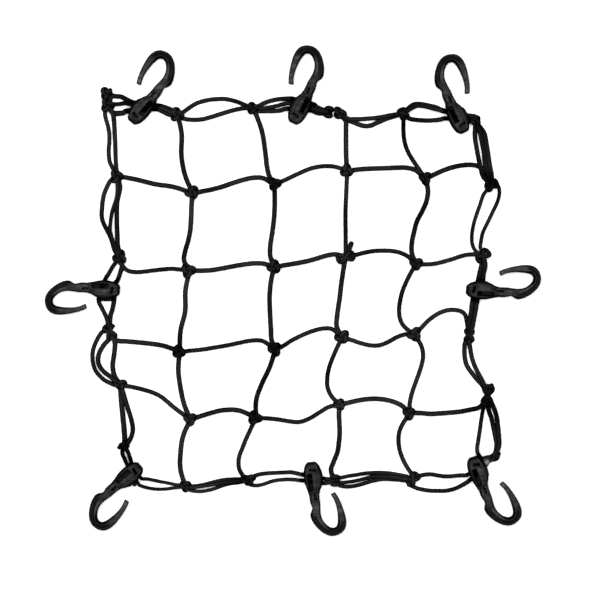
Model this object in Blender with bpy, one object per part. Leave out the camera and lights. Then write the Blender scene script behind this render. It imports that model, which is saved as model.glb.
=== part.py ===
"""Elastic cargo net, lying relaxed on a flat floor.

Four lengthwise and four crosswise cords are knotted where they cross and are tied to
a border of two or three cords side by side. Eight one-piece plastic hooks ride on the
border: its cords pass through a slot in each hook's lug.

Frame: metres, +Z up, the floor at z = 0, the origin under the middle of the net.
Tables are in millimetres. A strand's sideways offsets are positive to the left of its
direction of travel.
"""

from math import cos, hypot, pi, radians, sin

import bmesh
import bpy
from mathutils import Matrix, Vector

MM = 0.001

# Cords
MESH_CORD = 5.0  # diameter of the knotted mesh cords
BORDER_CORD = 4.6  # diameter of the border cords
STRAND_SIDES = 6
STRAND_STEP = 15.0  # length of cord between two rings of its skin
FLAT_RATIO = 0.952  # height of a six-sided section over its cord's diameter
CORNER_RATIO = 1.10  # width over corners of that section over the diameter
GAP = 0.3  # between pieces
FLAT_DEGREES = 1.0  # faces that meet within this angle count as one flat face
MERGE_MARGIN = 4.0  # how far beside a knot the pieces of its flat faces are joined

# Knots: a ridged mound with a flat foot
KNOT_SIDES = 12
KNOT_RIDGES = 3
RIDGE_DEPTH = 0.11  # of the knot's radius
RIDGE_TWIST = 1.2  # radians from foot to crown
KNOT_PROFILE = (  # height and radius, as shares of the knot's own
    (0.00, 0.78),
    (0.28, 1.00),
    (0.66, 0.93),
    (0.92, 0.56),
)

# Hooks
HOOK_THICK = 8.0  # of the hooked part
LUG_LENGTH = 33.0
LUG_HALF_WIDTH = 8.5
LUG_SHOULDER = 23.0  # where the lug starts to narrow to the neck
LUG_END_ANGLES = (-90, -60, -30, 0, 30, 60, 90)
NECK_HALF_WIDTH = 5.0
LUG_HEIGHT = 12.0
LUG_EDGE = 1.2  # chamfer round the lug
SEAT_U = 19.0  # middle of the cord slot, from the lug's end
SLOT_LENGTH = 20.0
SLOT_HEIGHT = 5.0
SEAT_Z = LUG_HEIGHT / 2
LUG_EXIT = 1.5  # how far beside the lug a cord in the slot still runs straight
GROOVE_LENGTH = 17.0
GROOVE_WIDTH = 3.0
GROOVE_DEPTH = 1.4
CUTTER_EXCESS = 2.0  # how far a cutting block stands out of what it cuts
CROWN_CENTRE = (57.3, 11.0)
CROWN_RADIUS = 17.7
MOUTH_CENTRE_V = 11.85
MOUTH_HALF_WIDTH = 7.85
MOUTH_DEPTH = 10.7  # from the crown's centre to the seat in the mouth
CROWN_ANGLES = (0, 25, 50, 75, 105, 130, 155, 180)
HOOK_EDGE = 1.3  # chamfer along the hooked part

# Stations of the hooked part: outer edge u, v and inner edge u, v, where u runs from the
# lug's end to the crown and v points to the side of the tip
NECK_STATIONS = (
    (28.0, -NECK_HALF_WIDTH, 28.0, NECK_HALF_WIDTH),
    (40.0, -NECK_HALF_WIDTH, 40.0, NECK_HALF_WIDTH),
    (45.0, -2.6, 45.0, 4.5),
    (49.0, -5.4, 49.0, 4.2),
    (53.0, -6.7, 53.0, 4.0),
)
ARM_STATIONS = (
    (50.0, 28.2, 50.0, 20.2),
    (42.5, 26.4, 43.5, 19.2),
    (36.5, 23.0, 38.5, 17.4),
    (33.6, 20.4, 35.6, 16.6),
)

# Hooks: name, place of the lug's end x, y, direction of the hook in degrees, side of tip
HOOKS = (
    ("top_left", -158.1, 167.2, 55.0, 1),
    ("top_middle", 2.0, 166.0, 67.0, 1),
    ("top_right", 169.0, 156.9, 111.0, -1),
    ("left", -173.2, 1.0, 176.5, 1),
    ("right", 173.3, 1.6, -4.0, 1),
    ("bottom_left", -152.8, -175.3, 219.5, 1),
    ("bottom_middle", 18.2, -170.2, 275.5, 1),
    ("bottom_right", 179.0, -166.0, 290.4, 1),
)

# Knots: name, x, y, length, width, height, turn of the length in degrees
MESH_KNOTS = (
    ("M11", -101, 99, 13.5, 12, 10, 30),
    ("M12", -18, 108, 12.5, 12, 10, -20),
    ("M13", 54, 120, 12.5, 12, 10, 60),
    ("M14", 133, 113, 13.5, 12, 10, 10),
    ("M21", -104, 21, 13.5, 12, 10, 100),
    ("M22", -19, 25, 12.5, 12, 10, 45),
    ("M23", 53, 35, 14.5, 13, 10, 130),
    ("M24", 123, 27, 13.5, 12, 10, 0),
    ("M31", -114, -61, 13.5, 12, 10, 70),
    ("M32", -18, -58, 12.5, 12, 10, 20),
    ("M33", 49, -46, 13.5, 12, 10, 110),
    ("M34", 122, -43, 14.5, 12, 10, 40),
    ("M41", -103, -128, 12.5, 12, 10, 0),
    ("M42", -38, -127, 12.5, 12, 10, 80),
    ("M43", 47, -113, 12.5, 12, 10, 30),
    ("M44", 116, -123, 13.5, 12, 10, 120),
)
BORDER_KNOTS = (
    ("TL", -186.5, 191.5, 23, 11, 10, 90),
    ("T1", -114, 177, 14.5, 13, 10, 75),
    ("T2", -39, 183, 14.5, 13, 10, 85),
    ("T3a", 36, 179, 15.5, 11, 10, 80),
    ("T3", 49, 179, 13.5, 12, 10, 0),
    ("T4", 109, 179, 15.5, 12, 10, 90),
    ("TR", 182.5, 171.5, 13.5, 13, 10, 30),
    ("R1", 198, 105.5, 16.5, 13, 10, 20),
    ("R2", 190, 36, 16.5, 14, 10, 150),
    ("R3", 175.5, -48, 15.5, 14, 10, 0),
    ("R4", 194, -107, 25, 12, 10, 70),
    ("R5", 203, -165, 11.5, 11, 9, 0),
    ("B4", 119, -188, 15.5, 13, 10, 60),
    ("B3", 40.5, -189, 13.5, 13, 10, 90),
    ("B2", -45, -188.5, 15.5, 13, 10, 20),
    ("B1", -107.5, -195, 12.5, 12, 10, 0),
    ("L5", -170, -155.5, 14.5, 13, 10, 10),
    ("L4", -173, -92.5, 15.5, 13, 10, 0),
    ("L3", -183, -40.5, 16.5, 13, 10, 100),
    ("L2", -173.5, 33.5, 15.5, 13, 10, 90),
    ("L1", -176, 116.5, 14.5, 13, 10, 90),
)

# Mesh strands: from, to, sideways offset at the start, each quarter and the end
MESH_STRANDS = (
    ("L1", "M11", 0, 1, 0, 1, 0),
    ("M11", "M12", 0, 0, 6.5, 8, 0),
    ("M12", "M13", 0, 6, 10, 8, 0),
    ("M13", "M14", 0, 4, 7, 9, 0),
    ("M14", "R1", 0, 10, 16, 7.5, -4),
    ("L2", "M21", -6, -10, -6, -1, 0),
    ("M21", "M22", 0, -2, 2, 4, 0),
    ("M22", "M23", 0, 0, 1, 3, 0),
    ("M23", "M24", 0, 4, 9, 8, 0),
    ("M24", "R2", 0, -2, -1, 2, 0),
    ("L3", "M31", 1, -4, -1, 2, 0),
    ("M31", "M32", 0, 2, 6, 10, 0),
    ("M32", "M33", 0, 8, 12, 12, 0),
    ("M33", "M34", 0, -8, -9, -2, 0),
    ("M34", "R3", 0, 13, 24, 25, -3),
    ("L4", "M41", 0, 4.5, 6.5, 2.5, 0),
    ("M41", "M42", 0, 5, 9, 7, 0),
    ("M42", "M43", 0, -5, -10, -4, 0),
    ("M43", "M44", 0, 6, 10, 10, 0),
    ("M44", "R4", 0, -4, -6, -8, 0),
    ("T1", "M11", 0, 0, -3.5, -3, 0),
    ("M11", "M21", 0, 1, -1, -5, 0),
    ("M21", "M31", 0, 0, 1, -1, 0),
    ("M31", "M41", 0, -4, -5, -4, 0),
    ("M41", "B1", 0, -6, -7.5, -6.5, 0),
    ("T2", "M12", 0, 1, -0.5, -2, 0),
    ("M12", "M22", 0, 0, -1, -3.5, 0),
    ("M22", "M32", 0, -4, -5.5, -3, 0),
    ("M32", "M42", 0, 1, -2, -3.5, 0),
    ("M42", "B2", 0, -5, -10.5, -12, 0),
    ("T3", "M13", 0, 1.5, 1.5, 0.5, 0),
    ("M13", "M23", 0, 0, -1, 0, 0),
    ("M23", "M33", 0, -2, -4.5, -6.5, 0),
    ("M33", "M43", 0, -7, -12.5, -12, 0),
    ("M43", "B3", 0, 1.5, 2, -1.5, 0),
    ("T4", "M14", 0, -4, -8, -5, 0),
    ("M14", "M24", 0, 3.5, -3, -6, 0),
    ("M24", "M34", 0, -11, -16, -15, 0),
    ("M34", "M44", 0, 9.5, 6.5, 1.5, 0),
    ("M44", "B4", 0, -9, -11, -6.5, 2),
)

# Border strands that pass through no hook, in the same columns
BORDER_STRANDS = (
    ("T1", "T2", 2, 9, 12.5, 9.5, 2),
    ("T1", "T2", -4, -7, -3.5, -0.5, -2),
    ("T3", "T4", -3, -6, -5, -3.5, -1),
    ("T3", "T4", -1, -11, -13.5, -9, -4),
    ("TR", "R1", -1, -3, -5, -4.6, -0.5),
    ("TR", "R1", 2, 3, 2, 1, 1),
    ("TR", "R1", 5, 8.5, 7.6, 6.6, 5),
    ("R1", "R2", -3, -9, -11.5, -13, -5),
    ("R1", "R2", 6, 7.5, 2, -3.5, -1),
    ("R3", "R4", -3, -8.5, -7, 0.5, 3),
    ("R3", "R4", 1, -1, -1, -1, -3),
    ("R4", "R5", 0, 1.3, 1.7, 0.5, -2),
    ("R4", "R5", 3, 6.9, 7.3, 6.1, 3),
    ("B3", "B4", 3, 5.8, 7, 6, 3),
    ("B3", "B4", 0, -0.2, 1.4, 0.6, 0),
    ("B3", "B4", -4, -6.5, -4.2, -4.8, -3),
    ("B1", "B2", 2, 3.2, 3.8, 3.2, 2),
    ("B1", "B2", 0, -2.2, -1.6, -2.2, -1),
    ("B1", "B2", -3, -8, -7.3, -4.8, -3),
    ("L4", "L5", 0, 0.8, 1.2, 2, 1),
    ("L4", "L5", 2, 6.2, 9, 10.8, 3),
    ("L3", "L4", -5, -20, -22.5, -18.6, -3),
    ("L3", "L4", -3, -13, -17, -12.5, -1),
    ("L3", "L4", 3, 2, -2, -4, 0),
    ("L1", "L2", -3, -13.5, -15.5, -9.5, -3),
    ("L1", "L2", 0, -3.6, -7, -6.2, 0),
    ("L1", "L2", 2, 1.8, -1.2, -0.6, 2),
    ("TL", "L1", -2, -3, -3, -5.3, -3),
    ("TL", "L1", 3, 4.6, 3, 1, 1.5),
)

# Border strands through a hook: from, offsets from the start on, hook, lane of the slot
# (its distance from the seat's middle toward the crown), offsets up to the end, to
HOOKED_STRANDS = (
    ("TL", (6, 2), "top_left", 6.2, (2, 3), "T1"),
    ("TL", (0, 1), "top_left", 0.6, (1, 0), "T1"),
    ("TL", (-7, -1), "top_left", -5.0, (0, -3), "T1"),
    ("T2", (4, 3.3), "top_middle", 6.0, (0, 3), "T3a"),
    ("T2", (0, 2), "top_middle", 0.4, (0, 0), "T3a"),
    ("T2", (-4, 0), "top_middle", -5.2, (0, -3), "T3a"),
    ("T4", (4, 4.5, 2), "top_right", 7.0, (0, 4), "TR"),
    ("T4", (0, -1, -1), "top_right", 1.4, (0, 0), "TR"),
    ("T4", (-4, -5, -3), "top_right", -4.2, (0, -4), "TR"),
    ("R2", (-3, 0), "right", -7.0, (0, 0), "R3"),
    ("R2", (3, 0), "right", -1.4, (0, 4), "R3"),
    ("B4", (2, 2.5, 1.2, -0.6), "bottom_right", -3.6, (2.5, 6, 5, 3), "R4"),
    ("B4", (-5, -7.6, -9, -7), "bottom_right", 2.0, (-2.5, 0), "R5"),
    ("B2", (4, 3, 4, 3.5), "bottom_middle", -4.5, (0, 2), "B3"),
    ("B2", (-4, -2, 2.5, 2.4), "bottom_middle", 1.1, (0, -3), "B3"),
    ("L5", (-2, 0), "bottom_left", -1.4, (0, -2, -3), "B1"),
    ("L5", (3, 0.5), "bottom_left", -7.0, (0, 1, 2), "B1"),
    ("L2", (-3, 0), "left", -1.2, (-1, -2), "L3"),
    ("L2", (1, 2.5), "left", -7.0, (3, 2), "L3"),
)


# Cut ends that stick out of a knot: knot, x and y of the tip, diameter of the cord
CUT_ENDS = (
    ("TL", -181.5, 203.0, BORDER_CORD),
    ("R4", 200.0, -94.0, BORDER_CORD),
    ("M23", 58.5, 48.5, MESH_CORD),
    ("L5", -162.0, -154.5, BORDER_CORD),
)


def clear_scene():
    """Remove every object, so that the part starts from an empty scene."""
    for item in list(bpy.data.objects):
        bpy.data.objects.remove(item, do_unlink=True)


def make_material(name, colour, roughness):
    """Return a Principled material."""
    material = bpy.data.materials.new(name)
    material.use_nodes = True
    shader = material.node_tree.nodes["Principled BSDF"]
    shader.inputs["Base Color"].default_value = (*colour, 1.0)
    shader.inputs["Roughness"].default_value = roughness
    shader.inputs["Metallic"].default_value = 0.0
    return material


def make_object(name, mesh):
    """Link a new object that shows the mesh."""
    item = bpy.data.objects.new(name, mesh)
    bpy.context.scene.collection.objects.link(item)
    return item


def skin_rings(name, rings):
    """Return a closed mesh whose skin joins the rings in turn, with flat ends."""
    bm = bmesh.new()
    loops = [[bm.verts.new(point * MM) for point in ring] for ring in rings]
    count = len(loops[0])
    for lower, upper in zip(loops, loops[1:]):
        for i in range(count):
            j = (i + 1) % count
            bm.faces.new((lower[i], lower[j], upper[j], upper[i]))
    bm.faces.new(reversed(loops[0]))
    bm.faces.new(loops[-1])
    bmesh.ops.recalc_face_normals(bm, faces=bm.faces)
    mesh = bpy.data.meshes.new(name)
    bm.to_mesh(mesh)
    bm.free()
    return mesh


# --- strands ---------------------------------------------------------------------


def smooth_route(points, samples=24):
    """Return close points on a Catmull-Rom curve through the given points."""
    ends = [points[0] * 2 - points[1], *points, points[-1] * 2 - points[-2]]
    route = []
    for p0, p1, p2, p3 in zip(ends, ends[1:], ends[2:], ends[3:]):
        for k in range(samples):
            t = k / samples
            route.append(
                (
                    p1 * 2
                    + (p2 - p0) * t
                    + (p0 * 2 - p1 * 5 + p2 * 4 - p3) * t**2
                    + (p1 * 3 - p0 - p2 * 3 + p3) * t**3
                )
                / 2
            )
    route.append(points[-1])
    return route


def even_route(route, step):
    """Return points about a step apart along the route, with its own two ends."""
    lengths = [0.0]
    for a, b in zip(route, route[1:]):
        lengths.append(lengths[-1] + (b - a).length)
    count = max(2, round(lengths[-1] / step))
    even, k = [], 0
    for i in range(count + 1):
        target = lengths[-1] * i / count
        while k < len(route) - 2 and lengths[k + 1] < target:
            k += 1
        share = (target - lengths[k]) / (lengths[k + 1] - lengths[k])
        even.append(route[k].lerp(route[k + 1], share))
    return even


def offset_points(start, end, offsets):
    """Return points at equal shares of the way, each moved to the left of travel."""
    travel = (end - start).xy.normalized()
    left = Vector((-travel.y, travel.x, 0.0))
    last = len(offsets) - 1
    return [start.lerp(end, i / last) + left * off for i, off in enumerate(offsets)]


def strand_section(diameter):
    """Return the six-sided section of a lying cord: across, up, from its middle."""
    high, wide = diameter * FLAT_RATIO / 2, diameter * CORNER_RATIO / 2
    return (
        (wide, 0.0),
        (wide / 2, high),
        (-wide / 2, high),
        (-wide, 0.0),
        (-wide / 2, -high),
        (wide / 2, -high),
    )


def strand_mesh(name, stretches, diameter):
    """Return the skin of a cord along its stretches of route, never below the floor."""
    section = strand_section(diameter)
    points = even_route(stretches[0], STRAND_STEP)
    for stretch in stretches[1:]:
        points += even_route(stretch, STRAND_STEP)[1:]
    rings = []
    for i, point in enumerate(points):
        ahead = points[min(i + 1, len(points) - 1)]
        behind = points[max(i - 1, 0)]
        travel = (ahead - behind).xy.normalized()
        across = Vector((travel.y, -travel.x, 0.0))
        height = max(point.z, diameter * FLAT_RATIO / 2)
        middle = Vector((point.x, point.y, height))
        rings.append([middle + across * x + Vector((0, 0, z)) for x, z in section])
    return skin_rings(name, rings)


def clears(point, knot):
    """Tell whether the point lies a gap or more outside the knot and its ridges."""
    _, x, y, length, width, _, turn = knot
    local = Matrix.Rotation(-radians(turn), 2) @ Vector((point.x - x, point.y - y))
    long_reach = length / 2 * (1 + RIDGE_DEPTH) + GAP
    wide_reach = width / 2 * (1 + RIDGE_DEPTH) + GAP
    return hypot(local.x / long_reach, local.y / wide_reach) > 1.0


def lying(x, y, diameter):
    """Return the middle of a cord that lies on the floor at x, y."""
    return Vector((x, y, diameter * FLAT_RATIO / 2))


# --- knots -----------------------------------------------------------------------


def knot_mesh(knot):
    """Return a ridged mound with a flat foot, its ridges winding round it."""
    name, x, y, length, width, height, turn = knot
    place = Matrix.Translation((x, y, 0.0)) @ Matrix.Rotation(radians(turn), 4, "Z")
    rings = []
    for rise, share in KNOT_PROFILE:
        ring = []
        for i in range(KNOT_SIDES):
            angle = 2 * pi * i / KNOT_SIDES
            ridge = cos(KNOT_RIDGES * (angle - RIDGE_TWIST * rise))
            size = share * (1 + RIDGE_DEPTH * ridge)
            across = Vector((length / 2 * cos(angle), width / 2 * sin(angle), 0.0))
            ring.append(place @ (across * size + Vector((0, 0, rise * height))))
        rings.append(ring)
    return skin_rings(name, rings)


# --- hooks -----------------------------------------------------------------------


def crown_stations():
    """Return the stations round the crown: outer edge u, v and inner edge u, v."""
    centre_u, centre_v = CROWN_CENTRE
    stations = []
    for angle in map(radians, CROWN_ANGLES):
        stations.append(
            (
                centre_u + CROWN_RADIUS * sin(angle),
                centre_v - CROWN_RADIUS * cos(angle),
                centre_u + MOUTH_DEPTH * sin(angle),
                MOUTH_CENTRE_V - MOUTH_HALF_WIDTH * cos(angle),
            )
        )
    return stations


def hooked_part():
    """Return the mesh of neck, spine, crown and arm, with chamfered edges."""
    low = (LUG_HEIGHT - HOOK_THICK) / 2
    high = low + HOOK_THICK
    rings = []
    for uo, vo, ui, vi in (*NECK_STATIONS, *crown_stations(), *ARM_STATIONS):
        outer, inner = Vector((uo, vo, 0.0)), Vector((ui, vi, 0.0))
        inset = (inner - outer).normalized() * HOOK_EDGE
        ring = []
        for edge, shift, z in (
            (outer, inset, low),
            (inner, -inset, low),
            (inner, inset * 0, low + HOOK_EDGE),
            (inner, inset * 0, high - HOOK_EDGE),
            (inner, -inset, high),
            (outer, inset, high),
            (outer, inset * 0, high - HOOK_EDGE),
            (outer, inset * 0, low + HOOK_EDGE),
        ):
            ring.append(edge + shift + Vector((0, 0, z)))
        rings.append(ring)
    return skin_rings("hooked_part", rings)


def lug_outline(inset):
    """Return the lug's outline in plan: a round end that narrows to the neck."""
    half = LUG_HALF_WIDTH
    end = [
        (half - (half - inset) * cos(a), (half - inset) * sin(a))
        for a in (radians(d) for d in LUG_END_ANGLES)
    ]
    shoulder = ((LUG_SHOULDER, half - inset), (LUG_LENGTH - inset, NECK_HALF_WIDTH - inset / 2))
    return [*end, *shoulder, *((u, -v) for u, v in reversed(shoulder))]


def lug_block():
    """Return the mesh of the lug without its slot."""
    levels = ((0.0, LUG_EDGE), (LUG_EDGE, 0.0))
    levels += ((LUG_HEIGHT - LUG_EDGE, 0.0), (LUG_HEIGHT, LUG_EDGE))
    rings = [[Vector((u, v, z)) for u, v in lug_outline(inset)] for z, inset in levels]
    return skin_rings("lug", rings)


def box_mesh(name, low, high):
    """Return a box between two corners."""
    corners = ((low.x, low.y), (high.x, low.y), (high.x, high.y), (low.x, high.y))
    return skin_rings(name, [[Vector((x, y, z)) for x, y in corners] for z in (low.z, high.z)])


def slot_cutter():
    """Return the block that cuts the slot for the cords across the lug."""
    reach = LUG_HALF_WIDTH + CUTTER_EXCESS
    low = Vector((SEAT_U - SLOT_LENGTH / 2, -reach, SEAT_Z - SLOT_HEIGHT / 2))
    high = Vector((SEAT_U + SLOT_LENGTH / 2, reach, SEAT_Z + SLOT_HEIGHT / 2))
    return box_mesh("slot", low, high)


def groove_cutter():
    """Return the block that cuts the groove along the top of the lug."""
    low = Vector((SEAT_U - GROOVE_LENGTH / 2, -GROOVE_WIDTH / 2, LUG_HEIGHT - GROOVE_DEPTH))
    top = LUG_HEIGHT + CUTTER_EXCESS
    high = Vector((SEAT_U + GROOVE_LENGTH / 2, GROOVE_WIDTH / 2, top))
    return box_mesh("groove", low, high)


# --- solids ----------------------------------------------------------------------


def merge_flat_faces(mesh, knots):
    """Join the pieces of the flat faces at each knot, which the union leaves cut up."""
    bm = bmesh.new()
    bm.from_mesh(mesh)
    for _, x, y, length, *_ in knots:
        middle = Vector((x, y)) * MM
        reach = (length / 2 + MERGE_MARGIN) * MM
        verts = [v for v in bm.verts if (v.co.xy - middle).length < reach]
        near = set(verts)
        edges = [e for e in bm.edges if near.issuperset(e.verts)]
        angle = radians(FLAT_DEGREES)
        bmesh.ops.dissolve_limit(bm, angle_limit=angle, verts=verts, edges=edges)
    bmesh.ops.triangulate(bm, faces=bm.faces)
    bm.to_mesh(mesh)
    bm.free()


def combine(name, meshes, cutters=()):
    """Return one mesh: the union of the meshes less the cutters."""
    base = make_object(name, meshes[0])
    operands = []
    for operation, group in (("UNION", meshes[1:]), ("DIFFERENCE", cutters)):
        if not group:
            continue
        collection = bpy.data.collections.new(f"{name}_{operation.lower()}")
        for mesh in group:
            operand = bpy.data.objects.new(mesh.name, mesh)
            collection.objects.link(operand)
            operands.append(operand)
        modifier = base.modifiers.new(operation.title(), "BOOLEAN")
        modifier.operation = operation
        modifier.operand_type = "COLLECTION"
        modifier.collection = collection
        modifier.solver = "EXACT"
    graph = bpy.context.evaluated_depsgraph_get()
    result = bpy.data.meshes.new_from_object(base.evaluated_get(graph))
    for item in (base, *operands):
        bpy.data.objects.remove(item, do_unlink=True)
    result.name = name
    return result


def shade(mesh, material, sharp_degrees):
    """Give the mesh its material and smooth shading up to an angle."""
    mesh.materials.clear()
    mesh.materials.append(material)
    mesh.shade_smooth()
    mesh.set_sharp_from_angle(angle=radians(sharp_degrees))


def build_mesh_cords(material):
    """Make the knotted mesh, whose strands stop just short of the border's knots."""
    knots = {knot[0]: knot for knot in (*MESH_KNOTS, *BORDER_KNOTS)}
    border_names = {knot[0] for knot in BORDER_KNOTS}
    pieces = [knot_mesh(knot) for knot in MESH_KNOTS]
    for start, end, *offsets in MESH_STRANDS:
        first, last = (lying(*knots[k][1:3], MESH_CORD) for k in (start, end))
        route = smooth_route(offset_points(first, last, offsets))
        for name in {start, end} & border_names:
            route = [point for point in route if clears(point, knots[name])]
        pieces.append(strand_mesh(f"{start}_{end}", [route], MESH_CORD))
    pieces += cut_end_meshes({knot[0]: knot for knot in MESH_KNOTS})
    mesh = combine("mesh_cords", pieces)
    merge_flat_faces(mesh, MESH_KNOTS)
    shade(mesh, material, 50)
    return make_object("mesh_cords", mesh)


def cut_end_meshes(knots):
    """Return the short cut ends that stick out of these knots."""
    meshes = []
    for name, x, y, diameter in CUT_ENDS:
        if name in knots:
            root = lying(*knots[name][1:3], diameter)
            meshes.append(strand_mesh(f"end_{name}", [[root, lying(x, y, diameter)]], diameter))
    return meshes


def hook_matrix(x, y, degrees):
    """Return the placement of a hook whose lug ends at x, y, in millimetres."""
    return Matrix.Translation((x, y, 0.0)) @ Matrix.Rotation(radians(degrees), 4, "Z")


def seat_ends(hook, lane, came_from):
    """Return where a cord in this lane meets the lug's near and far side."""
    _, x, y, degrees, _ = hook
    place = hook_matrix(x, y, degrees)
    reach = LUG_HALF_WIDTH + LUG_EXIT
    sides = [place @ Vector((SEAT_U + lane, v, SEAT_Z)) for v in (-reach, reach)]
    return sorted(sides, key=lambda side: (side.xy - came_from.xy).length)


def hooked_stretches(row, knots, hooks):
    """Return a border strand's route before, in and past its hook."""
    start, before, hook, lane, after, end = row
    first = lying(*knots[start][1:3], BORDER_CORD)
    last = lying(*knots[end][1:3], BORDER_CORD)
    near, far = seat_ends(hooks[hook], lane, first)
    points = offset_points(first, near, (*before, 0)) + offset_points(far, last, (0, *after))
    route = smooth_route(points)
    samples = (len(route) - 1) // (len(points) - 1)
    enters = len(before) * samples
    leaves = enters + samples
    return route[: enters + 1], route[enters : leaves + 1], route[leaves:]


def build_border_cords(material):
    """Make the border: its knots, the strands between them and those through hooks."""
    knots = {knot[0]: knot for knot in BORDER_KNOTS}
    hooks = {hook[0]: hook for hook in HOOKS}
    pieces = [knot_mesh(knot) for knot in BORDER_KNOTS]
    for i, (start, end, *offsets) in enumerate(BORDER_STRANDS):
        first, last = (lying(*knots[k][1:3], BORDER_CORD) for k in (start, end))
        route = smooth_route(offset_points(first, last, offsets))
        pieces.append(strand_mesh(f"{start}_{end}_{i}", [route], BORDER_CORD))
    for row in HOOKED_STRANDS:
        stretches = hooked_stretches(row, knots, hooks)
        pieces.append(strand_mesh(f"{row[0]}_{row[2]}", stretches, BORDER_CORD))
    pieces += cut_end_meshes(knots)
    mesh = combine("border_cords", pieces)
    merge_flat_faces(mesh, BORDER_KNOTS)
    shade(mesh, material, 50)
    return make_object("border_cords", mesh)


def build_hooks(material):
    """Make the eight hooks, alike but for the side of the tip."""
    parts = (hooked_part(), lug_block())
    right = combine("hook", parts, (slot_cutter(), groove_cutter()))
    shade(right, material, 35)
    left = right.copy()
    left.transform(Matrix.Scale(-1, 4, (0, 1, 0)))
    left.flip_normals()
    for name, x, y, degrees, side in HOOKS:
        hook = make_object(f"hook_{name}", right if side > 0 else left)
        hook.location = (x * MM, y * MM, 0.0)
        hook.rotation_euler = (0.0, 0.0, radians(degrees))


def main():
    """Build the whole net."""
    clear_scene()
    cord = make_material("black_elastic_cord", (0.012, 0.012, 0.013), 0.85)
    border = make_material("black_border_cord", (0.010, 0.010, 0.011), 0.85)
    plastic = make_material("black_hook_plastic", (0.018, 0.018, 0.019), 0.42)
    build_mesh_cords(cord)
    build_border_cords(border)
    build_hooks(plastic)


if __name__ == "__main__":
    main()
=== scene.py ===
"""Looks of an elastic cargo net with eight hooks, lying relaxed on a flat floor.

The cords are braided sheaths over rubber, knotted where they cross, and the hooks are
moulded plastic. Tables are in millimetres. A strand's sideways offsets are positive to
the left of its direction of travel.
"""

from math import cos, pi, radians, sin

import bmesh
import bpy
import numpy as np
from mathutils import Matrix, Vector, kdtree


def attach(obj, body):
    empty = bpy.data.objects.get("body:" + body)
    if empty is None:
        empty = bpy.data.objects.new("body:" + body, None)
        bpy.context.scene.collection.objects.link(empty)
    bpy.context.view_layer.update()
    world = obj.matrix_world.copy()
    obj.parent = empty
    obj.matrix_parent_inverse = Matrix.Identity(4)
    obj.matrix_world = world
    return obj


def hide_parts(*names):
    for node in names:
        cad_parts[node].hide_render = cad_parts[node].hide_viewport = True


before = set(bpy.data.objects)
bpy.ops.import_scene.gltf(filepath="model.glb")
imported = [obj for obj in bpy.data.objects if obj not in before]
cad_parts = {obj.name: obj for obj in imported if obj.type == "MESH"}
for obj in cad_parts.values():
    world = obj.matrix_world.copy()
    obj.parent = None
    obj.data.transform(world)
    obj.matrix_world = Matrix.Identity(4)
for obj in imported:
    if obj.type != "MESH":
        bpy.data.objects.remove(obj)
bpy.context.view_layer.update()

bl_info = {
    "name": "Cargo Net",
    "version": (1, 0, 0),
    "blender": (4, 5, 0),
    "location": "View3D > Sidebar > Cargo Net",
    "description": "Builds an elastic cargo net with moulded hooks",
    "category": "Add Mesh",
}

MM = 0.001
BODY = "root"

# Cords
STRAND_SIDES = 14
STRAND_STEP = 2.2  # length of cord between two rings of its skin
CURVE_STEPS = 32  # points on a curve between two of the places that it goes through
KNOT_SIDES = 12
KNOT_RINGS = 84
KNOT_CORD = 0.98  # thickness of the cord in a knot, as a share
CROSS_BULGE = 0.22  # how much fuller one end of a crossed knot is
KNOT_COVER = 0.7  # part of a knot's oval in which the strands are hidden
PRESSED = 0.90  # how near two crossing cords come, as a share of their diameters
HEAP_LIMIT = 8.2  # highest middle of a cord in a heap
EASE_PASSES = 10  # smoothing of a cord's rise over another
SEAT_Z = 6.0  # middle of a cord in a lug's slot
SEATED = SEAT_Z - 0.3  # a cord whose middle is higher lies in a slot
LUG_AXIS = (7.0, 28.0)  # part of a lug's middle line that has cords across it
LUG_REACH = 9.5  # how far from this line a cord still runs level
LUG_SLOPE = 15.0  # length over which it comes down to the floor
END_TAPER = 0.72  # thickness of a cut end's tip, as a share

# Hooks: name, place of the lug's end x, y, direction of the hook in degrees, how long and
# how wide it looks as it lies, side of tip
HOOKS = (
    ("top_left", -161.2, 169.8, 49.4, 1, 1.015, 1),
    ("top_middle", 0.4, 168.9, 63.2, 1.01, 1.03, 1),
    ("top_right", 171.5, 159.5, 115.3, 1.015, 1.03, -1),
    ("left", -173.5, 1.5, 176, 0.967, 1, 1),
    ("right", 174.1, 1.5, -3.9, 0.965, 1, 1),
    ("bottom_left", -152.9, -174.4, 219.7, 0.98, 1.01, 1),
    ("bottom_middle", 18.3, -171.4, 275.8, 0.987, 1.01, 1),
    ("bottom_right", 180, -166.3, 289.2, 1.005, 1.01, 1),
)

# Knots: name, x, y, length, width, height, turn of the length in degrees
MESH_KNOTS = (
    ("M11", -100.3, 98.3, 15.2, 13.4, 10, 30),
    ("M12", -18.5, 106.9, 14.2, 13.6, 10, -20),
    ("M13", 54.6, 120.5, 14.5, 13, 10, 60),
    ("M14", 132.8, 112.6, 13.5, 13.5, 10, 10),
    ("M21", -103.5, 20.9, 15.6, 14.8, 10, 100),
    ("M22", -18.3, 24.2, 14.4, 14.2, 10, 45),
    ("M23", 53, 34.2, 20.4, 13, 10, 9),
    ("M24", 123.5, 27.1, 14.5, 13, 10, 0),
    ("M31", -113.2, -60.4, 14, 13.5, 10, 70),
    ("M32", -17.6, -58.6, 14.4, 14.4, 10, 20),
    ("M33", 49.8, -46.2, 16.3, 13, 10, 25),
    ("M34", 122.1, -43.6, 16.3, 14, 10, 30),
    ("M41", -102.6, -128.4, 14.5, 13.5, 10, 0),
    ("M42", -36.9, -126.5, 14.8, 14.8, 10, 80),
    ("M43", 47, -113.6, 12.5, 12, 10, 30),
    ("M44", 117, -121.6, 14, 13, 10, 120),
)
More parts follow.
